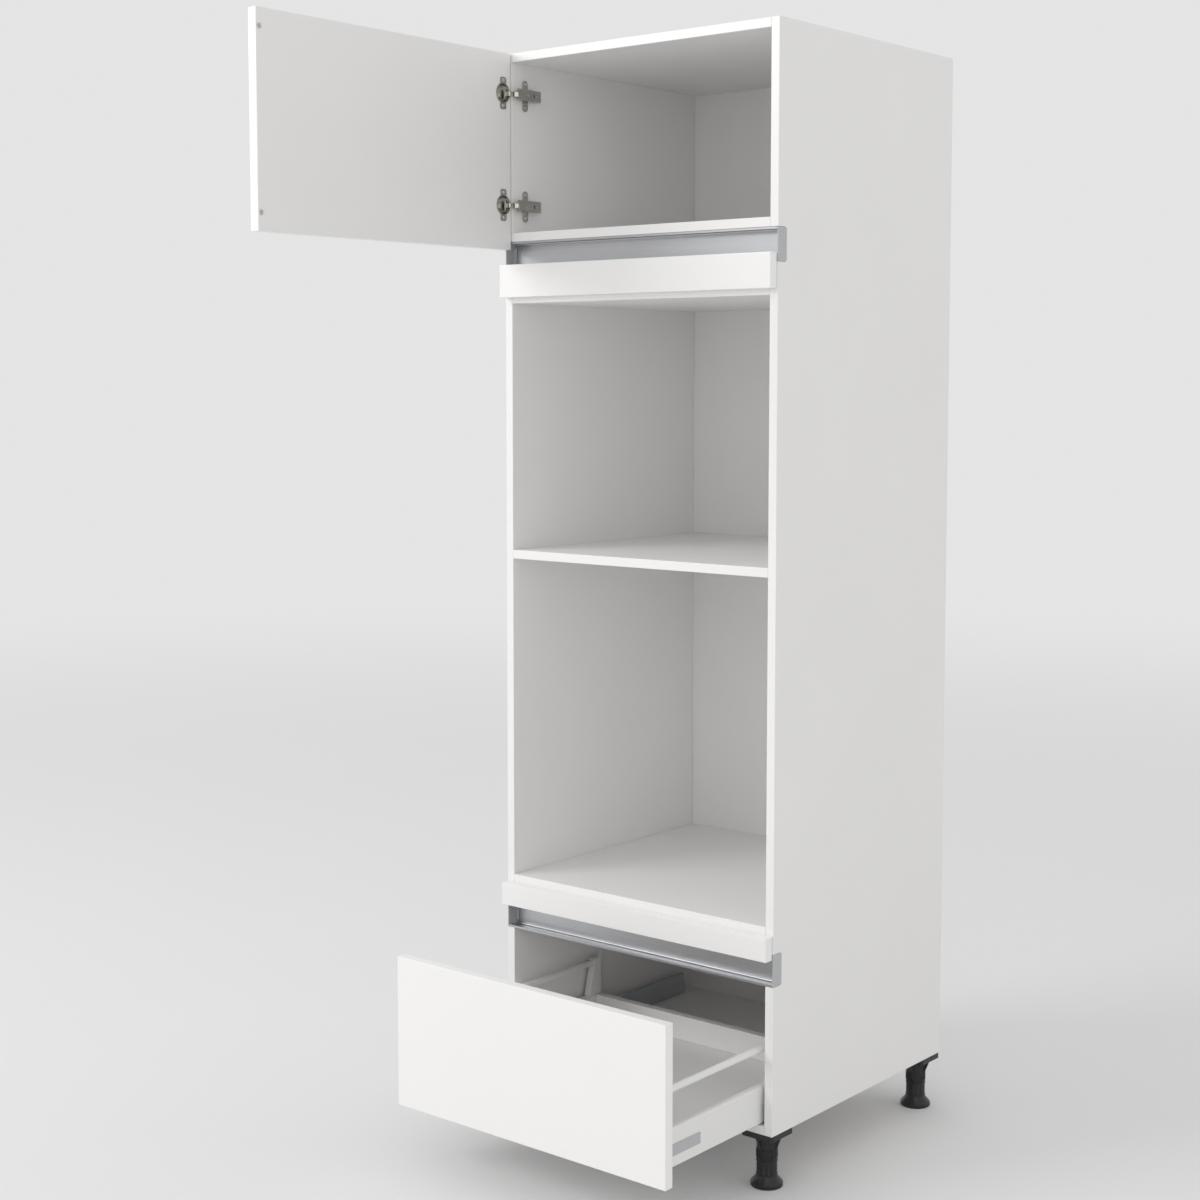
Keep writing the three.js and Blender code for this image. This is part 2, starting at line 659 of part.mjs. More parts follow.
// Cross-shaped mounting plate: screw wings on the panel and a spine under the arm.
function buildHingePlate(place, height) {
  const middle = (armFront + armRear) / 2;
  const halfWing = PLATE_WING_WIDTH / 2;
  const halfLength = PLATE_WING_LENGTH / 2;
  const wings = roundedRectangle(
    [middle - halfWing, middle + halfWing],
    [height - halfLength, height + halfLength],
    halfWing - SEAT,
  );
  const wingPlate = extrudeAlongX(wings, [plateFace, plateFace + PLATE_THICKNESS]);
  const spine = box(
    [plateFace, armTop - ARM_SHEET - SEAT],
    [armFront + ARM_HEIGHT, armRear - ARM_SHEET],
    [height - armSlot + SEAT, height + armSlot - SEAT],
  );
  piece(`hinge_plate_${place}`, join(wingPlate, spine), 'nickel');
}

function buildHinges() {
  for (const [i, place] of ['upper', 'lower'].entries()) {
    buildHingeCup(place, hingeHeights[i]);
    buildHingePin(place, hingeHeights[i]);
    buildHingeArm(place, hingeHeights[i]);
    buildHingePlate(place, hingeHeights[i]);
  }
}

// ---- Drawer ----------------------------------------------------------------------------------

// Double-walled steel side, seen along Y: a rounded box section above the web, an open
// skirt over the runner below it and a ledge for the bottom board.
function drawerSideOutline() {
  const [inner, outer] = [sideInner + DRAWER_SHEET, sideOuter - DRAWER_SHEET];
  const round = DRAWER_SIDE_ROUND;
  const shape = new THREE.Shape();
  shape.moveTo(sideInner - DRAWER_LEDGE, drawerSideBottom);
  shape.lineTo(inner, drawerSideBottom);
  shape.lineTo(inner, runnerWeb);
  shape.lineTo(outer, runnerWeb);
  shape.lineTo(outer, drawerSideBottom);
  shape.lineTo(sideOuter, drawerSideBottom);
  shape.absarc(sideOuter - round, drawerSideTop - round, round, 0, Math.PI / 2, false);
  shape.absarc(sideInner + round, drawerSideTop - round, round, Math.PI / 2, Math.PI, false);
  shape.lineTo(sideInner, drawerSideBottom + DRAWER_SHEET);
  shape.lineTo(sideInner - DRAWER_LEDGE, drawerSideBottom + DRAWER_SHEET);
  shape.closePath();
  const chamber = roundedRectangle(
    [inner, outer],
    [runnerWeb + DRAWER_SHEET, drawerSideTop - DRAWER_SHEET],
    round - DRAWER_SHEET,
  );
  shape.holes.push(chamber);
  return shape;
}

function buildDrawerBox() {
  piece('drawer_front', frontBoard(0, [carcassBottom, drawerFrontTop]), 'whiteFront', drawer);
  const sideLength = [drawerSideFront, drawerSideRear];
  leftAndRight('drawer_side', extrudeAlongY(drawerSideOutline(), sideLength), 'whiteSteel', drawer);
  const across = [-sideInner + SEAT, sideInner - SEAT];
  const floor = box(across, [bracketFront, drawerSideRear], [drawerFloorBottom, drawerFloorTop]);
  piece('drawer_bottom', floor, 'whiteMelamine', drawer);
  const back = box(
    across,
    [drawerSideRear - DRAWER_BOARD, drawerSideRear],
    [drawerFloorTop + SEAT, drawerSideTop],
  );
  piece('drawer_back', back, 'whiteMelamine', drawer);
}

// A plate screwed to the drawer front, with a tongue that locks inside the side's chamber.
function buildFrontBrackets() {
  const plate = roundedRectangle(
    [sideInner + SEAT, sideOuter],
    [drawerSideBottom + SEAT, drawerSideTop],
    DRAWER_SHEET,
  );
  const reach = [bracketFront, bracketFront + BRACKET_PLATE];
  const tongue = box(
    [sideInner + 2 * DRAWER_SHEET, sideOuter - 2 * DRAWER_SHEET],
    [bracketFront + BRACKET_PLATE / 2, drawerSideFront + BRACKET_TONGUE],
    [runnerWeb + 2 * DRAWER_SHEET, drawerSideTop - 2 * DRAWER_SHEET],
  );
  leftAndRight('front_bracket', join(extrudeAlongY(plate, reach), tongue), 'zinc', drawer);
}

// Moulded strips that snap on the outside of the drawer sides over the front adjusters.
function buildSideCaps() {
  const outline = roundedRectangle(
    [drawerSideFront, drawerSideFront + SIDE_CAP_LENGTH],
    [drawerSideBottom + SIDE_CAP_LIFT, drawerSideBottom + SIDE_CAP_LIFT + SIDE_CAP_HEIGHT],
    DRAWER_SHEET,
  );
  const thickness = [sideOuter + SEAT, sideOuter + SEAT + SIDE_CAP_THICKNESS];
  leftAndRight('side_cap', extrudeAlongX(outline, thickness), 'greyPlastic', drawer);
}

// The round rail above each drawer side, with the moulded pieces that hold its ends.
function buildGallery() {
  const plateRear = bracketFront + HOLDER_PLATE;
  const bossRear = plateRear + HOLDER_BOSS_LENGTH;
  const socketFront = bossRear - HOLDER_SOCKET;
  const rearSocket = drawerSideRear - REAR_HOLDER_HEAD + HOLDER_SOCKET;
  const rail = rodAlongY(GALLERY_RAIL_RADIUS, [socketFront, rearSocket], galleryX, galleryZ, PIN_SEGMENTS);
  leftAndRight('gallery_rail', rail, 'whiteSteel', drawer);

  const bore = GALLERY_RAIL_RADIUS + SEAT;
  const plate = roundedRectangle(
    [galleryX - HOLDER_WIDTH / 2, galleryX + HOLDER_WIDTH / 2],
    [galleryZ - HOLDER_HEIGHT / 2, galleryZ + HOLDER_HEIGHT / 2],
    HOLDER_PLATE,
  );
  const boss = rodAlongY(HOLDER_BOSS_RADIUS, [plateRear - HOLDER_PLATE / 2, bossRear], galleryX, galleryZ);
  const socket = rodAlongY(bore, [socketFront - SEAT, bossRear + SEAT], galleryX, galleryZ, PIN_SEGMENTS);
  const frontHolder = cut(join(extrudeAlongY(plate, [bracketFront, plateRear]), boss), socket);
  leftAndRight('rail_holder_front', frontHolder, 'whiteSteel', drawer);

  const headFront = drawerSideRear - REAR_HOLDER_HEAD;
  const headTop = galleryZ + HOLDER_BOSS_RADIUS;
  const post = new THREE.Shape();
  post.moveTo(drawerSideRear - REAR_HOLDER_FOOT, drawerSideTop + SEAT);
  post.lineTo(drawerSideRear, drawerSideTop + SEAT);
  post.lineTo(drawerSideRear, headTop);
  post.absarc(headFront + HOLDER_PLATE, headTop - HOLDER_PLATE, HOLDER_PLATE, Math.PI / 2, Math.PI, false);
  post.lineTo(headFront, galleryZ - HOLDER_BOSS_RADIUS);
  post.closePath();
  const halfHead = HOLDER_WIDTH / 2 - DRAWER_SHEET;
  const rearSolid = extrudeAlongX(post, [galleryX - halfHead, galleryX + halfHead]);
  const rearDepth = [headFront - HOLDER_PLATE, rearSocket + SEAT];
  const rearBore = rodAlongY(bore, rearDepth, galleryX, galleryZ, PIN_SEGMENTS);
  leftAndRight('rail_holder_rear', cut(rearSolid, rearBore), 'whiteSteel', drawer);
}

// ---- Runners ---------------------------------------------------------------------------------

// Folded sheet hat that opens downwards, seen along Y.
function hatOutline([x0, x1], [z0, z1], sheet) {
  return polygon([
    [x0, z0],
    [x0 + sheet, z0],
    [x0 + sheet, z1 - sheet],
    [x1 - sheet, z1 - sheet],
    [x1 - sheet, z0],
    [x1, z0],
    [x1, z1],
    [x0, z1],
  ]);
}

// The middle rail runs inside the drawer side's skirt and over the cabinet rail.
function buildRunners() {
  const middleX = [sideInner + DRAWER_SHEET + RUNNER_PLAY, sideOuter - DRAWER_SHEET - RUNNER_PLAY];
  const middleTop = runnerWeb - RUNNER_PLAY;
  const middleZ = [drawerSideBottom + MIDDLE_RAIL_LIFT, middleTop];
  const middleFront = carcassFront + MIDDLE_RAIL_START;
  const middleRail = extrudeAlongY(
    hatOutline(middleX, middleZ, RUNNER_SHEET),
    [middleFront, middleFront + MIDDLE_RAIL_LENGTH],
  );
  leftAndRight('middle_rail', middleRail, 'zinc', middleRails);

  const inner = middleX[0] + RUNNER_SHEET + RUNNER_PLAY;
  const outer = middleX[1] - RUNNER_SHEET - RUNNER_PLAY;
  const hatTop = middleTop - RUNNER_SHEET - RUNNER_PLAY;
  const foot = bottomBoardTop + CABINET_RAIL_LIFT;
  const wall = innerHalf - SEAT;
  const flangeTop = foot + CABINET_RAIL_HEIGHT;
  const outline = polygon([
    [inner, foot],
    [inner + RUNNER_SHEET, foot],
    [inner + RUNNER_SHEET, hatTop - RUNNER_SHEET],
    [outer - RUNNER_SHEET, hatTop - RUNNER_SHEET],
    [outer - RUNNER_SHEET, foot],
    [wall, foot],
    [wall, flangeTop],
    [wall - RUNNER_SHEET, flangeTop],
    [wall - RUNNER_SHEET, foot + RUNNER_SHEET],
    [outer, foot + RUNNER_SHEET],
    [outer, hatTop],
    [inner, hatTop],
  ]);
  const railFront = carcassFront + CABINET_RAIL_START;
  const cabinetRail = extrudeAlongY(outline, [railFront, railFront + CABINET_RAIL_LENGTH]);
  leftAndRight('cabinet_rail', cabinetRail, 'zinc');
}

// ---- Legs ------------------------------------------------------------------------------------

// Square flange with the tube that the foot screws into, bored from below.
function legSocket(x, y) {
  const top = carcassBottom - SEAT;
  const flangeBottom = top - LEG_FLANGE_THICKNESS;
  const half = LEG_FLANGE / 2;
  const outline = roundedRectangle([x - half, x + half], [y - half, y + half], LEG_FLANGE_CORNER);
  const flange = extrudeAlongZ(outline, [flangeBottom, top]);
  const tube = revolveZ([
    [0, LEG_SPLIT_HEIGHT + SEAT],
    [LEG_TUBE_RADIUS, LEG_SPLIT_HEIGHT + SEAT],
    [LEG_TUBE_RADIUS, flangeBottom - LEG_COLLAR],
    [LEG_TUBE_RADIUS + LEG_COLLAR, flangeBottom],
    [LEG_TUBE_RADIUS + LEG_COLLAR, flangeBottom + LEG_COLLAR],
    [0, flangeBottom + LEG_COLLAR],
  ], x, y);
  const screwTop = LEG_SPLIT_HEIGHT + LEG_SCREW_LENGTH;
  const bore = rodAlongZ(LEG_SCREW_RADIUS + SEAT, [LEG_SPLIT_HEIGHT - SEAT, screwTop + SEAT], x, y);
  return cut(join(flange, tube, ...legGussets(x, y, flangeBottom)), bore);
}

// Four upright webs that brace the tube against the flange.
function legGussets(x, y, flangeBottom) {
  const reach = LEG_FLANGE / 2 - LEG_COLLAR;
  const inside = LEG_TUBE_RADIUS - GUSSET_THICKNESS;
  const web = polygon([
    [inside, flangeBottom - GUSSET_DROP],
    [LEG_TUBE_RADIUS + LEG_COLLAR / 2, flangeBottom - GUSSET_DROP],
    [reach, flangeBottom],
    [reach, flangeBottom + LEG_COLLAR],
    [inside, flangeBottom + LEG_COLLAR],
  ]);
  const quarterTurns = [0, 1, 2, 3];
  return quarterTurns.map((turn) => {
    const gusset = extrudeAlongY(web, [-GUSSET_THICKNESS / 2, GUSSET_THICKNESS / 2]);
    return gusset.rotateZ((turn * Math.PI) / 2).translate(x, y, 0);
  });
}

// Round foot: a disc, a cone, the fluted grip and the screw that enters the socket.
function legFoot(x, y) {
  const screwTop = LEG_SPLIT_HEIGHT + LEG_SCREW_LENGTH;
  const body = revolveZ([
    [0, 0],
    [FOOT_RADIUS - FOOT_CHAMFER, 0],
    [FOOT_RADIUS, FOOT_CHAMFER],
    [FOOT_RADIUS, FOOT_DISC],
    [LEG_TUBE_RADIUS, FOOT_CONE_TOP],
    [LEG_TUBE_RADIUS, LEG_SPLIT_HEIGHT],
    [LEG_SCREW_RADIUS, LEG_SPLIT_HEIGHT],
    [LEG_SCREW_RADIUS, screwTop],
    [0, screwTop],
  ], x, y);
  const fluteHeight = [FOOT_CONE_TOP + GRIP_LAND, LEG_SPLIT_HEIGHT - GRIP_LAND];
  const flutes = Array.from({ length: GRIP_FLUTES }, (_, i) => {
    const angle = (2 * Math.PI * i) / GRIP_FLUTES;
    const reach = LEG_TUBE_RADIUS + FLUTE_RADIUS / 2;
    const [fluteX, fluteY] = [x + reach * Math.cos(angle), y + reach * Math.sin(angle)];
    return rodAlongZ(FLUTE_RADIUS, fluteHeight, fluteX, fluteY, FLUTE_SEGMENTS);
  });
  return cut(body, ...flutes);
}

function buildLegs() {
  const inset = LEG_FLANGE / 2;
  const rows = { front: carcassFront + inset, rear: carcassRear - inset };
  const columns = { left: -halfWidth + inset, right: halfWidth - inset };
  for (const [row, y] of Object.entries(rows)) {
    for (const [column, x] of Object.entries(columns)) {
      piece(`leg_socket_${row}_${column}`, legSocket(x, y), 'blackPlastic');
      piece(`leg_foot_${row}_${column}`, legFoot(x, y), 'blackPlastic');
    }
  }
}

// ---- Assembly --------------------------------------------------------------------------------
buildSides();
buildShelves();
buildBackPanel();
buildCrossRails();
buildChannel('channel_lower', lowerChannelBottom);
buildChannel('channel_upper', upperChannelBottom);
buildFascias();
buildDoorPanel();
buildDoorBuffers();
buildHinges();
buildDrawerBox();
buildFrontBrackets();
buildSideCaps();
buildGallery();
buildRunners();
buildLegs();

export default cabinet;
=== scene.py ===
"""Tall oven housing unit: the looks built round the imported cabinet.

White melamine-faced boards with two open appliance niches, a lacquered door and drawer
front, anodised grip channels, nickel-plated cup hinges, a steel-sided drawer and black
moulded legs. Metres, +Z up, the fronts face -Y.
"""

import json
import math

import bmesh
import bpy
from mathutils import Euler, Matrix, Vector


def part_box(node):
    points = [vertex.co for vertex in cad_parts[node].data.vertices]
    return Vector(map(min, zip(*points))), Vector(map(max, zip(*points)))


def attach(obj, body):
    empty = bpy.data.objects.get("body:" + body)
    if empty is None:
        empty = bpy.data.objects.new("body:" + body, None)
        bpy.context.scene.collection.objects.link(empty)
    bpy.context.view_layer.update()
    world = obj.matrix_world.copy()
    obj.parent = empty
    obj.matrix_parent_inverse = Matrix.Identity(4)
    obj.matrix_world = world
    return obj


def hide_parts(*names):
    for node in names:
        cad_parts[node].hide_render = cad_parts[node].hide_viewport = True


bl_info = {
    "name": "Tall oven housing unit",
    "version": (1, 0, 0),
    "blender": (4, 5, 0),
    "location": "View3D > Sidebar > Cabinet",
    "description": "Dresses a tall kitchen cabinet with two appliance niches",
    "category": "Object",
}

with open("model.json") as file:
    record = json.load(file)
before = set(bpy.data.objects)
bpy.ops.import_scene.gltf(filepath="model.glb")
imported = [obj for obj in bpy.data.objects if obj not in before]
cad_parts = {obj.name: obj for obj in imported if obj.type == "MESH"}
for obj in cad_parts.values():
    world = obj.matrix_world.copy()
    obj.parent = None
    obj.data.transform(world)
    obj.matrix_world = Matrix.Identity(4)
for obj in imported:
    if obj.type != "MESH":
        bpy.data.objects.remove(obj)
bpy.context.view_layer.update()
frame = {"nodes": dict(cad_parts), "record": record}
NODES = frame["nodes"]
NODE_BODY = {
    node: body
    for body, members in frame["record"]["behaviour"]["bodies"].items()
    for node in members
}

# ---- Names of the pieces ----

SIDES = ("side_left", "side_right")
SHELVES = (
    "bottom_board",
    "niche_floor_board",
    "niche_shelf",
    "niche_top_board",
    "compartment_floor",
    "top_board",
)
CROSS_RAILS = ("cross_rail_lower", "cross_rail_upper")
LEGS = ("front_left", "front_right", "rear_left", "rear_right")
HINGES = ("upper", "lower")
SIGNS = {"left": -1, "right": 1}

# ---- Sizes that no box of the frame gives ----

MM = 0.001
X, Y, Z = range(3)

# Carcass: the sides' notches for the channels, the connectors and the screws of the back.
NOTCH_REACH = 30 * MM
CAM_FROM_EDGE = 110 * MM
CAM_DEPTH = 1.6 * MM
BACK_SINK = 0.8 * MM
BACK_SCREW_SPREAD = 0.8
HOLE_PLAY = 0.4 * MM

# Hinges: the pocket in the door, and the screws measured from cup, plate and arm.
CUP_BORE = 35.6 * MM
CUP_CLEARANCE = 0.3 * MM
CUP_SCREW_REACH = 22.5 * MM
PLATE_SCREW_REACH = 21 * MM
PLATE_SCREW_BACK = 28 * MM
PLATE_SHEET = 2.5 * MM
ARM_SLOT_BACK = 13 * MM
ARM_MIDDLE_SHIFT = 4 * MM

# Drawer and runners: sheet thicknesses, and the screws along the ledges and rails.
LEDGE_SCREW_INSET = 6 * MM
LEDGE_SCREW_SHARES = (0.1, 0.37, 0.63, 0.9)
LEDGE_HEAD_RATIO = 0.8
HOLDER_SCREW_REACH = 10.4 * MM
HOLDER_PLATE = 4 * MM
HOLDER_HEAD_RATIO = 0.5
RAIL_SHEET = 1.4 * MM
RAIL_SCREW_DROP = 10 * MM
RAIL_SCREW_SHARES = (0.07, 0.3, 0.52, 0.9)

# Legs: the flange under the carcass, and the heights of the bands above the floor.
FLANGE_SCREW_REACH = 25 * MM
FLANGE_THICKNESS = 10 * MM
TUBE_RADIUS = 18 * MM
BAND_THICKNESS = 0.9 * MM
SOCKET_BANDS = (51 * MM, 64 * MM)
FOOT_BANDS = (21 * MM, 45 * MM)

# Stage: a floor that fades into the sky, two soft panels and the drawing's point of view.
WHITE = (1.0, 1.0, 1.0, 1.0)
FLOOR_RADIUS = 60.0
FLOOR_FADE = (2.5, 9.0)
KEY_PLACE, KEY_WIDTH = (-3.4, -4.4, 3.8), 2.6
FILL_PLACE, FILL_WIDTH = (3.4, -4.4, 2.4), 3.0
LIT_POINT = (0.0, 0.2, 1.0)
CAMERA_PLACE = (2.1551, -2.6789, 1.3729)
CAMERA_YAW = 39.571
CAMERA_PITCH = 4.542
CAMERA_SHIFT = -0.05


# ---- Settings ----


def linear(hex_colour):
    """Turns an sRGB hex value into linear red, green, blue and alpha."""
    channels = [((hex_colour >> shift) & 255) / 255 for shift in (16, 8, 0)]
    return tuple(
        c / 12.92 if c <= 0.04045 else ((c + 0.055) / 1.055) ** 2.4 for c in channels
    ) + (1.0,)


def colour_property(name, description, hex_colour):
    return bpy.props.FloatVectorProperty(
        name=name,
        description=description,
        default=linear(hex_colour),
        subtype="COLOR",
        size=4,
        min=0.0,
        max=1.0,
    )


def length_property(name, description, millimetres):
    return bpy.props.FloatProperty(
        name=name,
        description=description,
        default=millimetres * MM,
        min=0.0,
        subtype="DISTANCE",
        unit="LENGTH",
        precision=5,
    )


class CabinetFinishes(bpy.types.PropertyGroup):
    """Colours of the cabinet's finishes."""

    melamine: colour_property("Melamine", "Faces of the carcass boards", 0xF3F2F1)
    edge_band: colour_property("Edge band", "Plastic band on the boards' front edges", 0xF5F4F3)
    front: colour_property("Front", "Facing of the door, drawer front and fascias", 0xF7F6F5)
    aluminium: colour_property("Aluminium", "Grip channels", 0xC7C8CA)
    grey_plastic: colour_property("Grey plastic", "Channel ends and drawer side caps", 0xBCBEC0)
    nickel: colour_property("Nickel", "Cup hinges", 0xCBC8C2)
    powder_coat: colour_property("Powder coat", "Steel drawer sides and rails", 0xEFEEED)
    zinc: colour_property("Zinc", "Runners, brackets and screws", 0xCDD1D5)
    leg_black: colour_property("Leg black", "Moulded legs", 0x232122)
    floor: colour_property("Floor", "Studio floor", 0xE9E9E9)


class BoardSizes(bpy.types.PropertyGroup):
    """Sizes that finish the boards' edges."""

    arris: length_property("Arris", "Broken edge of a faced board", 0.6)
    front_arris: length_property("Front arris", "Softened edge of a front", 1.2)
    band: length_property("Edge band", "Thickness of the front edge band", 1.0)
    cam_diameter: length_property("Cam diameter", "Corner connector in a board", 15.0)
    cam_inset: length_property("Cam inset", "Connector centre from the board's end", 33.0)
    back_screw_head: length_property("Back screw head", "Screws through the back panel", 7.0)


class HardwareSizes(bpy.types.PropertyGroup):
    """Sizes of the fasteners and of the legs' ribs."""

    hinge_screw_head: length_property("Hinge screw head", "Screws of cups and plates", 6.5)
    adjuster_head: length_property("Adjuster head", "Adjusting screws on the hinge arms", 6.0)
    runner_screw_head: length_property("Runner screw head", "Screws of the runners", 7.5)
    leg_screw_head: length_property("Leg screw head", "Screws through the leg flanges", 8.0)
    rib_count: bpy.props.IntProperty(
        name="Leg ribs", description="Upright ribs round each leg socket", default=18, min=3
    )
    rib_width: length_property("Rib width", "Width of an upright leg rib", 1.6)


class StudioSettings(bpy.types.PropertyGroup):
    """Camera and light."""

    lens: bpy.props.FloatProperty(
        name="Lens", description="Focal length in millimetres", default=59.54, min=1.0
    )
    key_power: bpy.props.FloatProperty(
        name="Key light", description="Power of the large front light", default=112.0, min=0.0
    )
    fill_power: bpy.props.FloatProperty(
        name="Fill light", description="Power of the side light", default=12.0, min=0.0
    )
    sky: bpy.props.FloatProperty(
        name="Sky", description="Strength of the even light all round", default=0.78, min=0.0
    )


# ---- Node helpers ----

# A mix node has inputs of the same names for every kind of value, so colours go by number.
FACTOR, FIRST_COLOUR, SECOND_COLOUR, MIXED_COLOUR = 0, 6, 7, 2


def feed(tree, socket, value):
    """Gives an input its value, or a link from a socket or from a node's first output."""
    if isinstance(value, bpy.types.Node):
        value = value.outputs[0]
    if isinstance(value, bpy.types.NodeSocket):
        tree.links.new(value, socket)
    else:
        socket.default_value = value


def add_node(tree, kind, inputs=None, **settings):
    """Adds a node, sets its properties and feeds its inputs."""
    made = tree.nodes.new(kind)
    for name, value in settings.items():
        setattr(made, name, value)
    for name, value in (inputs or {}).items():
        feed(tree, made.inputs[name], value)
    return made


def shade(colour, factor):
    """The same hue, lighter or darker."""
    return tuple(min(1.0, channel * factor) for channel in colour[:3]) + (1.0,)


class Finish:
    """A material under construction: its tree, its shader and its object coordinates."""

    def __init__(self, name, colour=None, **constants):
        self.material = bpy.data.materials.new(name)
        self.material.use_nodes = True
        self.tree = self.material.node_tree
        self.shader = self.tree.nodes["Principled BSDF"]
        self.place = add_node(self.tree, "ShaderNodeTexCoord").outputs["Object"]
        self.colour = colour
        self.feed(**constants)

    def feed(self, **values):
        """Gives the shader's inputs their values or patterns; an underscore is a space."""
        for name, value in values.items():
            feed(self.tree, self.shader.inputs[name.replace("_", " ")], value)

    def layer(self, period_mm, detail=2.0, squeeze=None, shades=None, roughness=None, relief=None):
        """A noise pattern with blotches of this period, and all that it varies.

        That is the colour, between two shades of it, the roughness, between two values, and
        the relief, by a depth in millimetres and a strength. A squeeze along the axes makes
        grain that runs one way.
        """
        place = self.place
        if squeeze:
            inputs = {"Vector": place, "Scale": squeeze}
            place = add_node(self.tree, "ShaderNodeMapping", inputs)
        inputs = {"Vector": place, "Scale": 1 / (period_mm * MM), "Detail": detail}
        noise = add_node(self.tree, "ShaderNodeTexNoise", inputs)
        if shades:
            first, second = (shade(self.colour, factor) for factor in shades)
            inputs = {FACTOR: noise, FIRST_COLOUR: first, SECOND_COLOUR: second}
            mix = add_node(self.tree, "ShaderNodeMix", inputs, data_type="RGBA")
            self.feed(Base_Color=mix.outputs[MIXED_COLOUR])
        if roughness:
            inputs = {"Value": noise, "To Min": roughness[0], "To Max": roughness[1]}
            self.feed(Roughness=add_node(self.tree, "ShaderNodeMapRange", inputs))
        if relief:
            depth_mm, strength = relief
            inputs = {"Height": noise, "Distance": depth_mm * MM, "Strength": strength}
            self.feed(Normal=add_node(self.tree, "ShaderNodeBump", inputs))


# ---- Finishes ----


def melamine_faced_board(name, colour):
    """Melamine paper pressed on chipboard: satin, with a fine pearl from the press plate."""
    made = Finish(name, colour, Roughness=0.42, IOR=1.5)
    made.layer(period_mm=260, detail=3.0, shades=(0.955, 1.0))
    # The real pearl is under a millimetre; it is drawn at 4 mm so that it still shows.
    made.layer(period_mm=4, detail=3.0, roughness=(0.36, 0.5), relief=(0.16, 0.45))
    return made.material


def plastic_edge_band(name, colour):
    """ABS strip hot-glued to the board's edge and scraped flush: smoother than the face."""
    made = Finish(name, colour, Roughness=0.34, IOR=1.53)
    # Scraper marks run across the band every few millimetres.
    made.layer(period_mm=9, shades=(0.97, 1.0), roughness=(0.28, 0.4), relief=(0.03, 0.3))
    return made.material


def raw_chipboard(name):
    """Sawn edge of chipboard: pale and brown wood chips packed with resin."""
    made = Finish(name, Roughness=0.85, IOR=1.45)
    # Chips are about 5 mm long and lie flat, so the pattern is squeezed in height.
    inputs = {"Vector": made.place, "Scale": (1.0, 1.0, 2.2)}
    lying = add_node(made.tree, "ShaderNodeMapping", inputs)
    inputs = {"Vector": lying, "Scale": 1 / (5 * MM)}
    chips = add_node(made.tree, "ShaderNodeTexVoronoi", inputs)
    inputs = {"Color": chips.outputs["Color"]}
    tones = add_node(made.tree, "ShaderNodeSeparateColor", inputs).outputs
    colour = linear(0xD9BC93)
    for tone, other in (("Red", 0xA9835A), ("Green", 0xE9D8B8)):
        inputs = {FACTOR: tones[tone], FIRST_COLOUR: colour, SECOND_COLOUR: linear(other)}
        mix = add_node(made.tree, "ShaderNodeMix", inputs, data_type="RGBA")
        colour = mix.outputs[MIXED_COLOUR]
    inputs = {"Height": chips.outputs["Distance"], "Distance": 0.5 * MM, "Strength": 0.6}
    made.feed(Base_Color=colour, Normal=add_node(made.tree, "ShaderNodeBump", inputs))
    return made.material


def satin_lacquered_front(name, colour):
    """Foil-wrapped and lacquered front: smooth satin with a faint orange peel."""
    made = Finish(name, colour, Roughness=0.3, IOR=1.5, Coat_Weight=0.25, Coat_Roughness=0.18)
    made.layer(period_mm=320, shades=(0.98, 1.0))
    made.layer(period_mm=7, detail=1.0, roughness=(0.26, 0.34), relief=(0.05, 0.35))
    return made.material


def anodised_aluminium(name, colour):
    """Extruded channel, brushed along its length and anodised: soft streaks along X."""
    made = Finish(name, colour, Metallic=1.0, Roughness=0.36, Anisotropic=0.5)
    # The real brush lines are 0.1 mm; these are 1.5 mm wide and 250 mm long.
    made.layer(
        period_mm=250,
        detail=4.0,
        squeeze=(1.0, 160.0, 160.0),
        shades=(0.84, 1.08),
        roughness=(0.28, 0.46),
        relief=(0.03, 0.4),
    )
    return made.material


def grained_plastic(name, colour, roughness, grain_mm, depth_mm):
    """Injection-moulded plastic from a spark-eroded tool: even, matt grain."""
    made = Finish(name, colour, Roughness=roughness, IOR=1.49)
    made.layer(period_mm=60, shades=(0.88, 1.06))
    spread = (roughness - 0.08, roughness + 0.1)
    made.layer(period_mm=grain_mm, roughness=spread, relief=(depth_mm, 0.5))
    return made.material


def nickel_plated_steel(name, colour):
    """Bright nickel over pressed steel: sharp reflections, a few wiped smudges."""
    made = Finish(name, colour, Metallic=1.0, Roughness=0.2)
    made.layer(period_mm=14, detail=3.0, shades=(0.9, 1.0), roughness=(0.15, 0.32))
    return made.material


def powder_coated_steel(name, colour):
    """Sheet steel with baked white powder: satin, with a visible orange peel."""
    made = Finish(name, colour, Roughness=0.36, IOR=1.5)
    made.layer(period_mm=120, shades=(0.96, 1.0))
    made.layer(period_mm=3.5, detail=1.5, roughness=(0.3, 0.42), relief=(0.06, 0.5))
    return made.material


def zinc_plated_steel(name, colour):
    """Rolled strip with zinc: bluish, with long rolling streaks and duller patches."""
    made = Finish(name, colour, Metallic=1.0, Roughness=0.34)
    rolled = (40.0, 1.0, 40.0)
    made.layer(period_mm=90, detail=3.0, squeeze=rolled, shades=(0.8, 1.05), relief=(0.02, 0.4))
    made.layer(period_mm=22, roughness=(0.26, 0.46))
    return made.material


def clear_polyurethane(name):
    """Cast bumper pad: milky, lets light through and sticks on by itself."""
    made = Finish(
        name, Roughness=0.3, IOR=1.5, Transmission_Weight=0.55, Base_Color=linear(0xE8E8E4)
    )
    made.layer(period_mm=3, roughness=(0.22, 0.4))
    return made.material


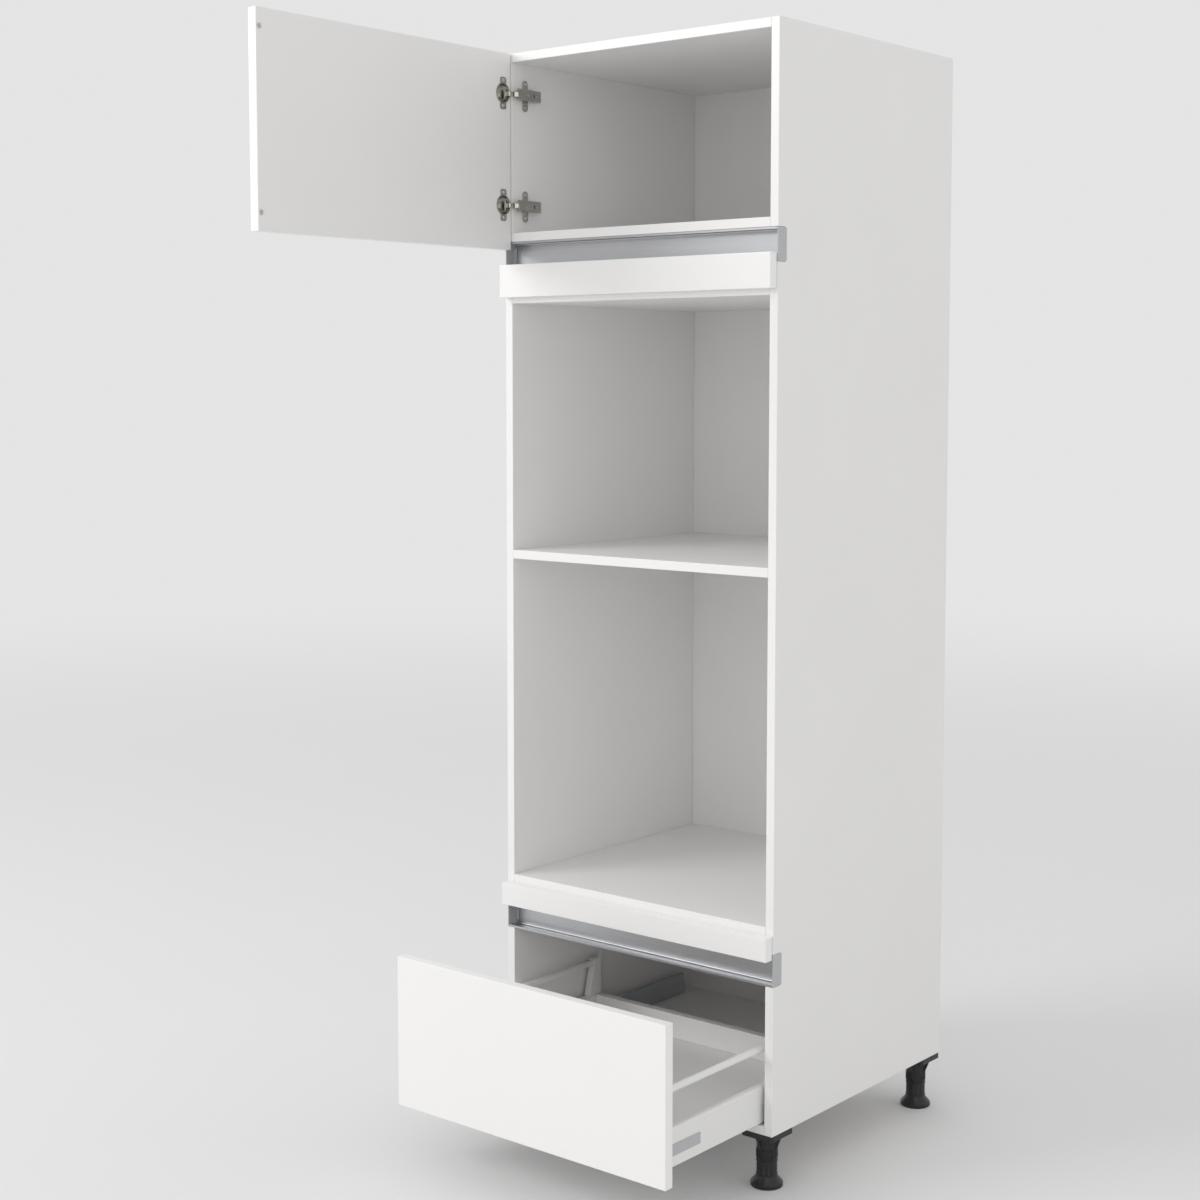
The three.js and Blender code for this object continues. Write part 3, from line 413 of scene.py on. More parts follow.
def make_finishes():
    """Every finish of the cabinet, by the name that its pieces ask for."""
    tones = bpy.context.scene.cabinet_finishes
    return {
        "melamine": melamine_faced_board("white_melamine_faced_board", tones.melamine),
        "edge_band": plastic_edge_band("white_abs_edge_band", tones.edge_band),
        "chipboard": raw_chipboard("sawn_chipboard_edge"),
        "front": satin_lacquered_front("white_satin_lacquered_front", tones.front),
        "aluminium": anodised_aluminium("brushed_anodised_aluminium", tones.aluminium),
        "grey_plastic": grained_plastic("moulded_grey_abs", tones.grey_plastic, 0.48, 1.2, 0.05),
        "nickel": nickel_plated_steel("nickel_plated_steel", tones.nickel),
        "powder_coat": powder_coated_steel("white_powder_coated_steel", tones.powder_coat),
        "zinc": zinc_plated_steel("zinc_plated_steel", tones.zinc),
        "polyurethane": clear_polyurethane("clear_cast_polyurethane"),
        "leg": grained_plastic("moulded_black_polypropylene", tones.leg_black, 0.3, 1.5, 0.02),
    }


# Every finish, by the name that its pieces ask for, once it is made.
FINISHES = {}


def finish_named(name):
    """One finish, made with all the others the first time that one is asked for."""
    if not FINISHES:
        FINISHES.update(make_finishes())
    return FINISHES[name]


# ---- Pieces ----


def place_in_scene(name, data):
    """Makes an object of a mesh, a lamp or a camera."""
    made = bpy.data.objects.new(name, data)
    bpy.context.scene.collection.objects.link(made)
    return made


def new_piece(name, mesh, main_finish, body, replaced=None):
    """Makes a finished mesh a piece that rides on a body, in place of a CAD node or added."""
    if not mesh.materials:
        mesh.materials.append(finish_named(main_finish))
    piece = place_in_scene(name, mesh)
    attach(piece, body)
    if replaced:
        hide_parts(replaced)


def stand_in(node, mesh, main_finish):
    """Makes a mesh the piece that replaces a CAD node and rides where the node does."""
    new_piece(f"{node}_dressed", mesh, main_finish, NODE_BODY[node], node)


def bake(carrier, *helpers):
    """A plain mesh of an object with its modifiers applied; it and its helpers go."""
    bpy.context.view_layer.update()
    depsgraph = bpy.context.evaluated_depsgraph_get()
    mesh = bpy.data.meshes.new_from_object(carrier.evaluated_get(depsgraph))
    for used in (carrier, *helpers):
        bpy.data.objects.remove(used)
    return mesh


def middle_of(node):
    low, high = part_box(node)
    return (low + high) / 2


def low_corner(node):
    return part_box(node)[0]


def high_corner(node):
    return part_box(node)[1]


def spaced(start, end, shares):
    """Places on the way from a start to an end, each at a share of it."""
    return [start + share * (end - start) for share in shares]


# ---- Mesh helpers ----

WELD_REACH = 0.01 * MM
SHORTEST_EDGE = 0.001 * MM
FLAT_BELOW = math.radians(0.6)
SHARP_ABOVE = math.radians(40)
CURVED_BELOW = 38
HOLE_SIDES = 24

# Cosines: a face looks along an axis, a face looks straight along it, an edge stands upright.
MOSTLY, NEARLY, UPRIGHT = 0.5, 0.9, 0.99


def welded_copy(node):
    """The CAD node's surface with shared corners and whole flat faces, as a bmesh."""
    shape = bmesh.new()
    shape.from_mesh(NODES[node].data)
    bmesh.ops.remove_doubles(shape, verts=shape.verts, dist=WELD_REACH)
    bmesh.ops.dissolve_limit(shape, angle_limit=FLAT_BELOW, verts=shape.verts, edges=shape.edges)
    return shape


def break_edges(shape, width, segments=2, only=None):
    """Rounds the sharp outer edges of a shape, or only those that a test picks."""
    sharp = [
        edge
        for edge in shape.edges
        if edge.is_manifold
        and edge.calc_face_angle_signed(0) > SHARP_ABOVE
        and (only is None or only(edge))
    ]
    bmesh.ops.bevel(
        shape,
        geom=sharp,
        offset=width,
        segments=segments,
        profile=0.5,
        affect="EDGES",
        clamp_overlap=True,
    )
    bmesh.ops.dissolve_degenerate(shape, dist=SHORTEST_EDGE, edges=shape.edges)


def to_mesh(shape, name, smooth_below=None):
    """Turns a bmesh into a mesh, smooth where its faces meet at less than that angle."""
    mesh = bpy.data.meshes.new(name)
    shape.to_mesh(mesh)
    shape.free()
    return smoothed(mesh, smooth_below) if smooth_below else mesh


def smoothed(mesh, angle):
    """Smooth curves whose shading leaves the large flat faces beside them flat."""
    mesh.shade_smooth()
    mesh.set_sharp_from_angle(angle=math.radians(angle))
    carrier = place_in_scene("carrier", mesh)
    modifier = carrier.modifiers.new("weighted", "WEIGHTED_NORMAL")
    modifier.weight = 100
    modifier.keep_sharp = True
    return bake(carrier)


def looks_along(normal, axis):
    """Whether a face looks along an axis, either way."""
    return abs(normal[axis]) > MOSTLY


def paint(mesh, names, choose):
    """Gives each face the finish that choose(centre, normal) names."""
    for name in names:
        mesh.materials.append(finish_named(name))
    for face in mesh.polygons:
        face.material_index = names.index(choose(face.center, face.normal))


def dress_node(node, main_finish, edge_mm=0, segments=2, smooth_below=CURVED_BELOW, only=None):
    """Replaces a CAD node by a copy of it with rounded edges and smooth curves."""
    shape = welded_copy(node)
    if edge_mm:
        break_edges(shape, edge_mm * MM, segments, only)
    stand_in(node, to_mesh(shape, node, smooth_below), main_finish)


def sink_holes(mesh, places, diameter, depth, facing):
    """Drills flat-bottomed round holes into a face that looks in this direction."""
    drill_shape = bmesh.new()
    turn = Vector(facing).to_track_quat("Z", "Y").to_matrix().to_4x4()
    for place in places:
        bmesh.ops.create_cone(
            drill_shape,
            cap_ends=True,
            segments=HOLE_SIDES,
            radius1=diameter / 2,
            radius2=diameter / 2,
            depth=2 * depth,
            matrix=Matrix.Translation(place) @ turn,
        )
    target = place_in_scene("drilled", mesh)
    drill = place_in_scene("drill", to_mesh(drill_shape, "drill"))
    modifier = target.modifiers.new("holes", "BOOLEAN")
    modifier.operation = "DIFFERENCE"
    modifier.solver = "EXACT"
    modifier.object = drill
    return bake(target, drill)


# ---- Geometry trees ----

BAND_SIDES = 40
BAND_PROFILE_SIDES = 8
TUBE_SIDES = 32


def start_tree(name, sockets):
    """A geometry tree that takes places, these further inputs and a finish."""
    tree = bpy.data.node_groups.new(name, "GeometryNodeTree")
    tree.is_modifier = True
    kinds = {"Places": "Geometry", **sockets, "Finish": "Material"}
    for socket, kind in kinds.items():
        tree.interface.new_socket(socket, in_out="INPUT", socket_type=f"NodeSocket{kind}")
    tree.interface.new_socket("Result", in_out="OUTPUT", socket_type="NodeSocketGeometry")
    return tree, add_node(tree, "NodeGroupInput").outputs


def end_tree(tree, geometry, material):
    """Makes the instances real and gives them their finish."""
    real = add_node(tree, "GeometryNodeRealizeInstances", {"Geometry": geometry})
    dressed = add_node(tree, "GeometryNodeSetMaterial", {"Geometry": real, "Material": material})
    add_node(tree, "NodeGroupOutput", {"Result": dressed})
    return tree


def fastener_tree(name):
    """One shape on every place, turned as the place's "turn" attribute says."""
    tree, given = start_tree(name, {"Shape": "Object", "Size": "Float"})
    shape = add_node(tree, "GeometryNodeObjectInfo", {"Object": given["Shape"]})
    turn = add_node(
        tree, "GeometryNodeInputNamedAttribute", {"Name": "turn"}, data_type="FLOAT_VECTOR"
    )
    rotation = add_node(tree, "FunctionNodeEulerToRotation", {"Euler": turn.outputs["Attribute"]})
    inputs = {
        "Points": given["Places"],
        "Instance": shape.outputs["Geometry"],
        "Rotation": rotation,
        "Scale": given["Size"],
    }
    placed = add_node(tree, "GeometryNodeInstanceOnPoints", inputs)
    return end_tree(tree, placed, given["Finish"])


def rib_tree(name):
    """A ring of upright ribs round every place."""
    sockets = {"Radius": "Float", "Count": "Int", "Width": "Float", "Height": "Float"}
    tree, given = start_tree(name, sockets)
    count, width = given["Count"], given["Width"]
    inputs = {"Vertices": count, "Radius": given["Radius"]}
    ring = add_node(tree, "GeometryNodeMeshCircle", inputs)
    index = add_node(tree, "GeometryNodeInputIndex")
    share = add_node(tree, "ShaderNodeMath", {0: index, 1: count}, operation="DIVIDE")
    angle = add_node(tree, "ShaderNodeMath", {0: share, 1: math.tau}, operation="MULTIPLY")
    euler = add_node(tree, "ShaderNodeCombineXYZ", {"Z": angle})
    turn = add_node(tree, "FunctionNodeEulerToRotation", {"Euler": euler})
    inputs = {"X": width, "Y": width, "Z": given["Height"]}
    size = add_node(tree, "ShaderNodeCombineXYZ", inputs)
    rib = add_node(tree, "GeometryNodeMeshCube", {"Size": size})
    inputs = {"Points": ring, "Instance": rib, "Rotation": turn}
    ribs = add_node(tree, "GeometryNodeInstanceOnPoints", inputs)
    inputs = {"Points": given["Places"], "Instance": ribs}
    rings = add_node(tree, "GeometryNodeInstanceOnPoints", inputs)
    return end_tree(tree, rings, given["Finish"])


def band_tree(name):
    """A raised round band about every place."""
    tree, given = start_tree(name, {"Radius": "Float", "Thickness": "Float"})
    inputs = {"Resolution": BAND_SIDES, "Radius": given["Radius"]}
    circle = add_node(tree, "GeometryNodeCurvePrimitiveCircle", inputs)
    inputs = {"Resolution": BAND_PROFILE_SIDES, "Radius": given["Thickness"]}
    profile = add_node(tree, "GeometryNodeCurvePrimitiveCircle", inputs)
    inputs = {"Curve": circle, "Profile Curve": profile}
    band = add_node(tree, "GeometryNodeCurveToMesh", inputs)
    inputs = {"Points": given["Places"], "Instance": band}
    bands = add_node(tree, "GeometryNodeInstanceOnPoints", inputs)
    return end_tree(tree, bands, given["Finish"])


def tube_tree(name):
    """A round tube with closed ends between two points."""
    sockets = {"Start": "Vector", "End": "Vector", "Radius": "Float"}
    tree, given = start_tree(name, sockets)
    inputs = {"Start": given["Start"], "End": given["End"]}
    line = add_node(tree, "GeometryNodeCurvePrimitiveLine", inputs)
    inputs = {"Resolution": TUBE_SIDES, "Radius": given["Radius"]}
    profile = add_node(tree, "GeometryNodeCurvePrimitiveCircle", inputs)
    inputs = {"Curve": line, "Profile Curve": profile, "Fill Caps": True}
    tube = add_node(tree, "GeometryNodeCurveToMesh", inputs)
    return end_tree(tree, tube, given["Finish"])


def point_mesh(name, places, turns=()):
    """A mesh of points, each with the turn of what is set on it."""
    mesh = bpy.data.meshes.new(name)
    mesh.from_pydata([tuple(place) for place in places], [], [])
    if turns:
        attribute = mesh.attributes.new("turn", "FLOAT_VECTOR", "POINT")
        for item, turn in zip(attribute.data, turns):
            item.vector = turn
    return mesh


def grow(
    name, maker, places, values, main_finish, body, smooth_below=None, turns=(), replaced=None
):
    """Runs a geometry tree on places and bakes the result to a piece that rides on a body."""
    tree = bpy.data.node_groups.get(maker.__name__) or maker(maker.__name__)
    carrier = place_in_scene(f"{name}_places", point_mesh(f"{name}_points", places, turns))
    modifier = carrier.modifiers.new("grow", "NODES")
    modifier.node_group = tree
    values = {**values, "Finish": finish_named(main_finish)}
    for socket in tree.interface.items_tree:
        if socket.in_out == "INPUT" and socket.name in values:
            modifier[socket.identifier] = values[socket.name]
    mesh = bake(carrier)
    if not mesh.polygons:
        raise RuntimeError(f"the geometry tree made nothing for {name}")
    if smooth_below:
        mesh = smoothed(mesh, smooth_below)
    new_piece(name, mesh, main_finish, body, replaced)


# ---- Fasteners ----

# A head is one unit across. Its dome rises from the rim over a shoulder to the crown, and the
# cross in it is given by its arms' reach and half width at the mouth and at the floor.
HEAD_SIDES = 20
RIM_RADIUS = 0.5
SHOULDER_RADIUS = 0.46
SHOULDER_SHARE = 0.55
CROWN_RADIUS = 0.36
CROWN_RISE = 0.01
CROSS_MOUTH = (0.3, 0.07)
CROSS_FLOOR = (0.22, 0.045)
HEADS = {
    "pan_head": {"rim": 0.08, "dome": 0.16, "recess": 0.12},
    "flat_head": {"rim": 0.03, "dome": 0.03, "recess": 0.05},
}
HEAD_CURVED_BELOW = 32
GOLDEN_ANGLE = 2.39996


def cross_outline(reach, half_width):
    """The twelve corners of a cross, anticlockwise."""
    arm = ((reach, -half_width), (reach, half_width), (half_width, half_width))
    turns = [Matrix.Rotation(quarter * math.pi / 2, 2) for quarter in range(4)]
    return [turn @ Vector(corner) for turn in turns for corner in arm]


def ring_of_verts(shape, radius, height):
    angles = [math.tau * i / HEAD_SIDES for i in range(HEAD_SIDES)]
    return [
        shape.verts.new((radius * math.cos(angle), radius * math.sin(angle), height))
        for angle in angles
    ]


def bridge(shape, lower, upper):
    """A band of faces between two closed rings of as many corners."""
    count = len(lower)
    for i in range(count):
        following = (i + 1) % count
        shape.faces.new((lower[i], lower[following], upper[following], upper[i]))


def cross_head(name, rim, dome, recess):
    """A round head one unit across with a cross recess; its seat is at height 0."""
    shape = bmesh.new()
    top = rim + dome
    crown = top + CROWN_RISE
    rings = [
        ring_of_verts(shape, RIM_RADIUS, 0.0),
        ring_of_verts(shape, RIM_RADIUS, rim),
        ring_of_verts(shape, SHOULDER_RADIUS, rim + SHOULDER_SHARE * dome + CROWN_RISE),
        ring_of_verts(shape, CROWN_RADIUS, crown),
    ]
    shape.faces.new(list(reversed(rings[0])))
    for lower, upper in zip(rings, rings[1:]):
        bridge(shape, lower, upper)
    mouth = [shape.verts.new((x, y, crown)) for x, y in cross_outline(*CROSS_MOUTH)]
    base = [shape.verts.new((x, y, top - recess)) for x, y in cross_outline(*CROSS_FLOOR)]
    bridge(shape, mouth, base)
    shape.faces.new(base)
    loops = []
    for ring in (rings[-1], mouth):
        for pair in zip(ring, ring[1:] + ring[:1]):
            loops.append(shape.edges.get(pair) or shape.edges.new(pair))
    bmesh.ops.triangle_fill(shape, use_beauty=True, edges=loops)
    bmesh.ops.recalc_face_normals(shape, faces=shape.faces)
    return to_mesh(shape, name, HEAD_CURVED_BELOW)


def set_fasteners(name, head, places, facing, size, body, main_finish="zinc"):
    """Sets screw heads on places, all facing one way and each turned differently."""
    template = place_in_scene(f"{name}_head", cross_head(head, **HEADS[head]))
    facing = Vector(facing).to_track_quat("Z", "Y")
    # The golden angle turns every recess differently, and the same in every run.
    turns = [
        (facing @ Euler((0.0, 0.0, i * GOLDEN_ANGLE)).to_quaternion()).to_euler()
        for i in range(len(places))
    ]
    values = {"Shape": template, "Size": size}
    grow(name, fastener_tree, places, values, main_finish, body, HEAD_CURVED_BELOW, turns)
    bpy.data.objects.remove(template)


def set_sunk_fasteners(name, places, facing, diameter, depth, body):
    """Sets flat heads on the floors of holes of this diameter and depth."""
    seats = [place - Vector(facing) * depth for place in places]
    set_fasteners(name, "flat_head", seats, facing, diameter - HOLE_PLAY, body)


# ---- Operators ----


class CABINET_OT_carcass_boards(bpy.types.Operator):
    """Dress the sides, shelves, stretchers and back: faced, edge-banded and sawn surfaces"""

    bl_idname = "cabinet.carcass_boards"
    bl_label = "Carcass boards"

    def execute(self, context):
        sizes = context.scene.cabinet_boards
        front = low_corner("niche_shelf").y
        for node in SIDES + SHELVES + CROSS_RAILS:
            self.dress_board(node, front, sizes)
        self.dress_back(sizes)
        for node in SHELVES:
            places, facing = self.cam_places(node, sizes)
            diameter = sizes.cam_diameter
            set_sunk_fasteners(f"{node}_cams", places, facing, diameter, CAM_DEPTH, "carcass")
        return {"FINISHED"}

    def dress_board(self, node, front, sizes):
        """Melamine on the faces, bands on the edges that show, chipboard on the others."""
        shape = welded_copy(node)
        break_edges(shape, sizes.arris)
        band_end = front + sizes.band
        bmesh.ops.bisect_plane(
            shape,
            geom=shape.verts[:] + shape.edges[:] + shape.faces[:],
            plane_co=(0.0, band_end, 0.0),
            plane_no=(0.0, 1.0, 0.0),
        )
        mesh = to_mesh(shape, node)
        if node in SHELVES:
            places, facing = self.cam_places(node, sizes)
            mesh = sink_holes(mesh, places, sizes.cam_diameter, CAM_DEPTH, facing)
        face_axis = X if node in SIDES else Y if node in CROSS_RAILS else Z
        notch_end = front + NOTCH_REACH

        def choose(centre, normal):
            if centre.y < band_end:
                return "edge_band"
            if looks_along(normal, face_axis):
                return "melamine"
            banded = centre.y < notch_end if node in SIDES else looks_along(normal, X)
            return "edge_band" if banded else "chipboard"

        paint(mesh, ("melamine", "edge_band", "chipboard"), choose)
        stand_in(node, mesh, "melamine")

    def cam_places(self, node, sizes):
        """Corner connectors near the board's ends, on the face that is out of sight."""
        low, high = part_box(node)
        up = node in ("top_board", "niche_top_board")
        height = high.z if up else low.z
        rows = (low.y + CAM_FROM_EDGE, high.y - CAM_FROM_EDGE)
        columns = (low.x + sizes.cam_inset, high.x - sizes.cam_inset)
        places = [Vector((x, y, height)) for x in columns for y in rows]
        return places, (0, 0, 1 if up else -1)

    def dress_back(self, sizes):
        """The thin back, sunk for the screws that hold it to every board."""
        shape = welded_copy("back_panel")
        break_edges(shape, sizes.arris / 2)
        rear = high_corner("back_panel").y
        reach = high_corner("niche_shelf").x * BACK_SCREW_SPREAD
        heights = [middle_of(node).z for node in SHELVES]
        places = [Vector((x, rear, z)) for x in (-reach, 0.0, reach) for z in heights]
        head, facing = sizes.back_screw_head, (0, 1, 0)
        mesh = sink_holes(to_mesh(shape, "back_panel"), places, head, BACK_SINK, facing)

        def choose(centre, normal):
            return "melamine" if looks_along(normal, Y) else "chipboard"

        paint(mesh, ("melamine", "chipboard"), choose)
        stand_in("back_panel", mesh, "melamine")
        set_sunk_fasteners("back_panel_screws", places, facing, head, BACK_SINK, "carcass")


class CABINET_OT_fronts(bpy.types.Operator):
    """Dress the door, the drawer front and the two fascias with softened lacquered edges"""

    bl_idname = "cabinet.fronts"
    bl_label = "Fronts"

    def execute(self, context):
        arris = context.scene.cabinet_boards.front_arris
        for node in ("fascia_lower", "fascia_upper", "drawer_front"):
            self.finish_front(node, self.softened_board(node, arris), (0, 1, 0))
        inner_face = high_corner("door_panel").x
        depth = inner_face - low_corner("hinge_cup_upper").x + CUP_CLEARANCE
        cups = [middle_of(f"hinge_cup_{place}") for place in HINGES]
        places = [Vector((inner_face, cup.y, cup.z)) for cup in cups]
        door = self.softened_board("door_panel", arris)
        inward = (1, 0, 0)
        door = sink_holes(door, places, CUP_BORE, depth, inward)
        self.finish_front("door_panel", door, inward)
        for place in HINGES:
            dress_node(f"door_buffer_{place}", "polyurethane", smooth_below=50)
        return {"FINISHED"}

    def softened_board(self, node, arris):
        """A board the size of the CAD node, with every edge rounded."""
        low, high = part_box(node)
        shape = bmesh.new()
        bmesh.ops.create_cube(shape, size=1.0)
        bmesh.ops.scale(shape, vec=high - low, verts=shape.verts)
        bmesh.ops.translate(shape, vec=(low + high) / 2, verts=shape.verts)
        break_edges(shape, arris, segments=3)
        return to_mesh(shape, node)

    def finish_front(self, node, mesh, inward):
        """Lacquer outside and on the edges, melamine on the face towards the carcass."""

        def choose(centre, normal):
            return "melamine" if normal.dot(Vector(inward)) > NEARLY else "front"

        paint(mesh, ("front", "melamine"), choose)
        stand_in(node, mesh, "front")


class CABINET_OT_grip_channels(bpy.types.Operator):
    """Dress the two extruded grip channels and their moulded ends"""

    bl_idname = "cabinet.grip_channels"
    bl_label = "Grip channels"

    def execute(self, context):
        for channel in ("channel_lower", "channel_upper"):
            dress_node(channel, "aluminium", edge_mm=0.3, segments=1)
            for side in SIGNS:
                dress_node(f"{channel}_cap_{side}", "grey_plastic", edge_mm=0.1, segments=1)
        return {"FINISHED"}


class CABINET_OT_cup_hinges(bpy.types.Operator):
    """Dress the two cup hinges and set their screws"""

    bl_idname = "cabinet.cup_hinges"
    bl_label = "Cup hinges"

    def execute(self, context):
        cup_screws, plate_screws, adjusters = [], [], []
        for place in HINGES:
            cup, arm, plate = (f"hinge_{part}_{place}" for part in ("cup", "arm", "plate"))
            dress_node(cup, "nickel", edge_mm=0.12, only=self.is_on_inner_face)
            dress_node(f"hinge_pin_{place}", "nickel", edge_mm=0.1)
            dress_node(arm, "nickel", edge_mm=0.25)
            dress_node(plate, "nickel", edge_mm=0.3)
            centre = middle_of(cup)
            plate_face = low_corner(plate).x + PLATE_SHEET
            plate_y = high_corner(plate).y - PLATE_SCREW_BACK
            for side in (-1, 1):
                z = centre.z + side * CUP_SCREW_REACH
                cup_screws.append(Vector((high_corner(cup).x, centre.y, z)))
                z = centre.z + side * PLATE_SCREW_REACH
                plate_screws.append(Vector((plate_face, plate_y, z)))
            arm_face, arm_end, _ = high_corner(arm)
            for y in (arm_end - ARM_SLOT_BACK, middle_of(arm).y + ARM_MIDDLE_SHIFT):
                adjusters.append(Vector((arm_face, y, centre.z)))
        sizes = context.scene.cabinet_hardware
        inward, head = (1, 0, 0), sizes.hinge_screw_head
        set_fasteners("hinge_cup_screws", "pan_head", cup_screws, inward, head, "door")
        set_fasteners("hinge_plate_screws", "pan_head", plate_screws, inward, head, "carcass")
        head = sizes.adjuster_head
        set_fasteners("hinge_adjusters", "flat_head", adjusters, inward, head, "carcass")
        return {"FINISHED"}

    def is_on_inner_face(self, edge):
        """The flange's rim on the room side; behind it the flange is too narrow to round."""
        return any(face.normal.x > MOSTLY for face in edge.link_faces)


class CABINET_OT_drawer(bpy.types.Operator):
    """Dress the drawer: steel sides, boards, gallery rails and their holders"""

    bl_idname = "cabinet.drawer"
    bl_label = "Drawer"

    def execute(self, context):
        for side in SIGNS:
            dress_node(f"drawer_side_{side}", "powder_coat", edge_mm=0.25)
            dress_node(f"front_bracket_{side}", "zinc", edge_mm=0.3)
            dress_node(f"side_cap_{side}", "grey_plastic", edge_mm=0.4)
            holder = f"rail_holder_front_{side}"
            dress_node(holder, "powder_coat", edge_mm=0.4, only=self.is_not_upright)
            dress_node(f"rail_holder_rear_{side}", "powder_coat", edge_mm=0.2)
            self.grow_rail(f"gallery_rail_{side}")
        arris = context.scene.cabinet_boards.arris
        self.dress_board("drawer_bottom", Z, arris)
        self.dress_board("drawer_back", Y, arris)
        self.set_screws(context.scene.cabinet_hardware.runner_screw_head)
        return {"FINISHED"}

    def is_not_upright(self, edge):
        """The holder's socket touches its plate's upright edges, which stay sharp."""
        start, end = (vert.co for vert in edge.verts)
        return abs((end - start).normalized().z) < UPRIGHT

    def grow_rail(self, node):
        """The round rail, a tube from end to end of its CAD node."""
        low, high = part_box(node)
        centre = (low + high) / 2
        values = {
            "Start": (centre.x, low.y, centre.z),
            "End": (centre.x, high.y, centre.z),
            "Radius": (high.z - low.z) / 2,
        }
        name, coat = f"{node}_dressed", "powder_coat"
        grow(name, tube_tree, [centre], values, coat, "drawer", smooth_below=40, replaced=node)

    def dress_board(self, node, face_axis, arris):
        """Melamine on the faces, sawn chipboard on the edges, a band on the back's top."""
        shape = welded_copy(node)
        break_edges(shape, arris)
        mesh = to_mesh(shape, node)

        def choose(centre, normal):
            if looks_along(normal, face_axis):
                return "melamine"
            return "edge_band" if face_axis == Y and normal.z > MOSTLY else "chipboard"

        paint(mesh, ("melamine", "edge_band", "chipboard"), choose)
        stand_in(node, mesh, "melamine")

    def set_screws(self, head):
        """Under the ledges that carry the drawer bottom, and on the front rail holders."""
        low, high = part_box("drawer_bottom")
        ledge = low_corner("drawer_side_right").z
        under, holders = [], []
        for side, sign in SIGNS.items():
            x = sign * (high.x - LEDGE_SCREW_INSET)
            under += [Vector((x, y, ledge)) for y in spaced(low.y, high.y, LEDGE_SCREW_SHARES)]
            holder = f"rail_holder_front_{side}"
            centre, y = middle_of(holder), low_corner(holder).y + HOLDER_PLATE
            for step in (-HOLDER_SCREW_REACH, HOLDER_SCREW_REACH):
                holders.append(Vector((centre.x, y, centre.z + step)))
        size = head * LEDGE_HEAD_RATIO
        set_fasteners("drawer_floor_screws", "pan_head", under, (0, 0, -1), size, "drawer")
        size = head * HOLDER_HEAD_RATIO
        set_fasteners("rail_holder_screws", "flat_head", holders, (0, 1, 0), size, "drawer")


class CABINET_OT_runners(bpy.types.Operator):
    """Dress the three-part runners and set the screws of the cabinet rails"""

    bl_idname = "cabinet.runners"
    bl_label = "Runners"

    def execute(self, context):
        head = context.scene.cabinet_hardware.runner_screw_head
        for side, sign in SIGNS.items():
            rail = f"cabinet_rail_{side}"
            dress_node(rail, "zinc", edge_mm=0.3)
            dress_node(f"middle_rail_{side}", "zinc", edge_mm=0.3)
            low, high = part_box(rail)
            wall = low.x if sign < 0 else high.x
            x, z = wall - sign * RAIL_SHEET, high.z - RAIL_SCREW_DROP
            places = [Vector((x, y, z)) for y in spaced(low.y, high.y, RAIL_SCREW_SHARES)]
            name, inward = f"runner_screws_{side}", (-sign, 0, 0)
            set_fasteners(name, "pan_head", places, inward, head, "carcass", "nickel")
        return {"FINISHED"}


class CABINET_OT_legs(bpy.types.Operator):
    """Dress the legs with their ribs and bands, and screw their flanges on"""

    bl_idname = "cabinet.legs"
    bl_label = "Legs"

    def execute(self, context):
        sizes = context.scene.cabinet_hardware
        centres = [middle_of(f"leg_socket_{leg}") for leg in LEGS]
        for leg, centre in zip(LEGS, centres):
            dress_node(f"leg_socket_{leg}", "leg", edge_mm=0.5)
            foot = f"leg_foot_{leg}"
            dress_node(foot, "leg", edge_mm=0.4)
            self.grow_bands(f"leg_foot_bands_{leg}", [centre], FOOT_BANDS, NODE_BODY[foot])
        self.grow_bands("leg_socket_bands", centres, SOCKET_BANDS, "carcass")
        self.grow_ribs(centres, sizes.rib_count, sizes.rib_width)
        seat = high_corner("leg_socket_front_left").z - FLANGE_THICKNESS
        corners = [Vector((x, y, 0)) * FLANGE_SCREW_REACH for x in (-1, 1) for y in (-1, 1)]
        places = [
            Vector((centre.x, centre.y, seat)) + corner for centre in centres for corner in corners
        ]
        head = sizes.leg_screw_head
        set_fasteners("leg_flange_screws", "pan_head", places, (0, 0, -1), head, "carcass")
        return {"FINISHED"}

    def grow_bands(self, name, centres, heights, body):
        """Raised bands round the legs at these heights."""
        places = [Vector((centre.x, centre.y, z)) for centre in centres for z in heights]
        values = {"Radius": TUBE_RADIUS, "Thickness": BAND_THICKNESS}
        grow(name, band_tree, places, values, "leg", body, smooth_below=60)

    def grow_ribs(self, centres, count, width):
        """Upright ribs between the two bands of every socket."""
        low_band, high_band = SOCKET_BANDS
        middle = (low_band + high_band) / 2
        places = [Vector((centre.x, centre.y, middle)) for centre in centres]
        values = {
            "Radius": TUBE_RADIUS,
            "Count": count,
            "Width": width,
            "Height": high_band - low_band,
        }
        grow("leg_socket_ribs", rib_tree, places, values, "leg", "carcass")


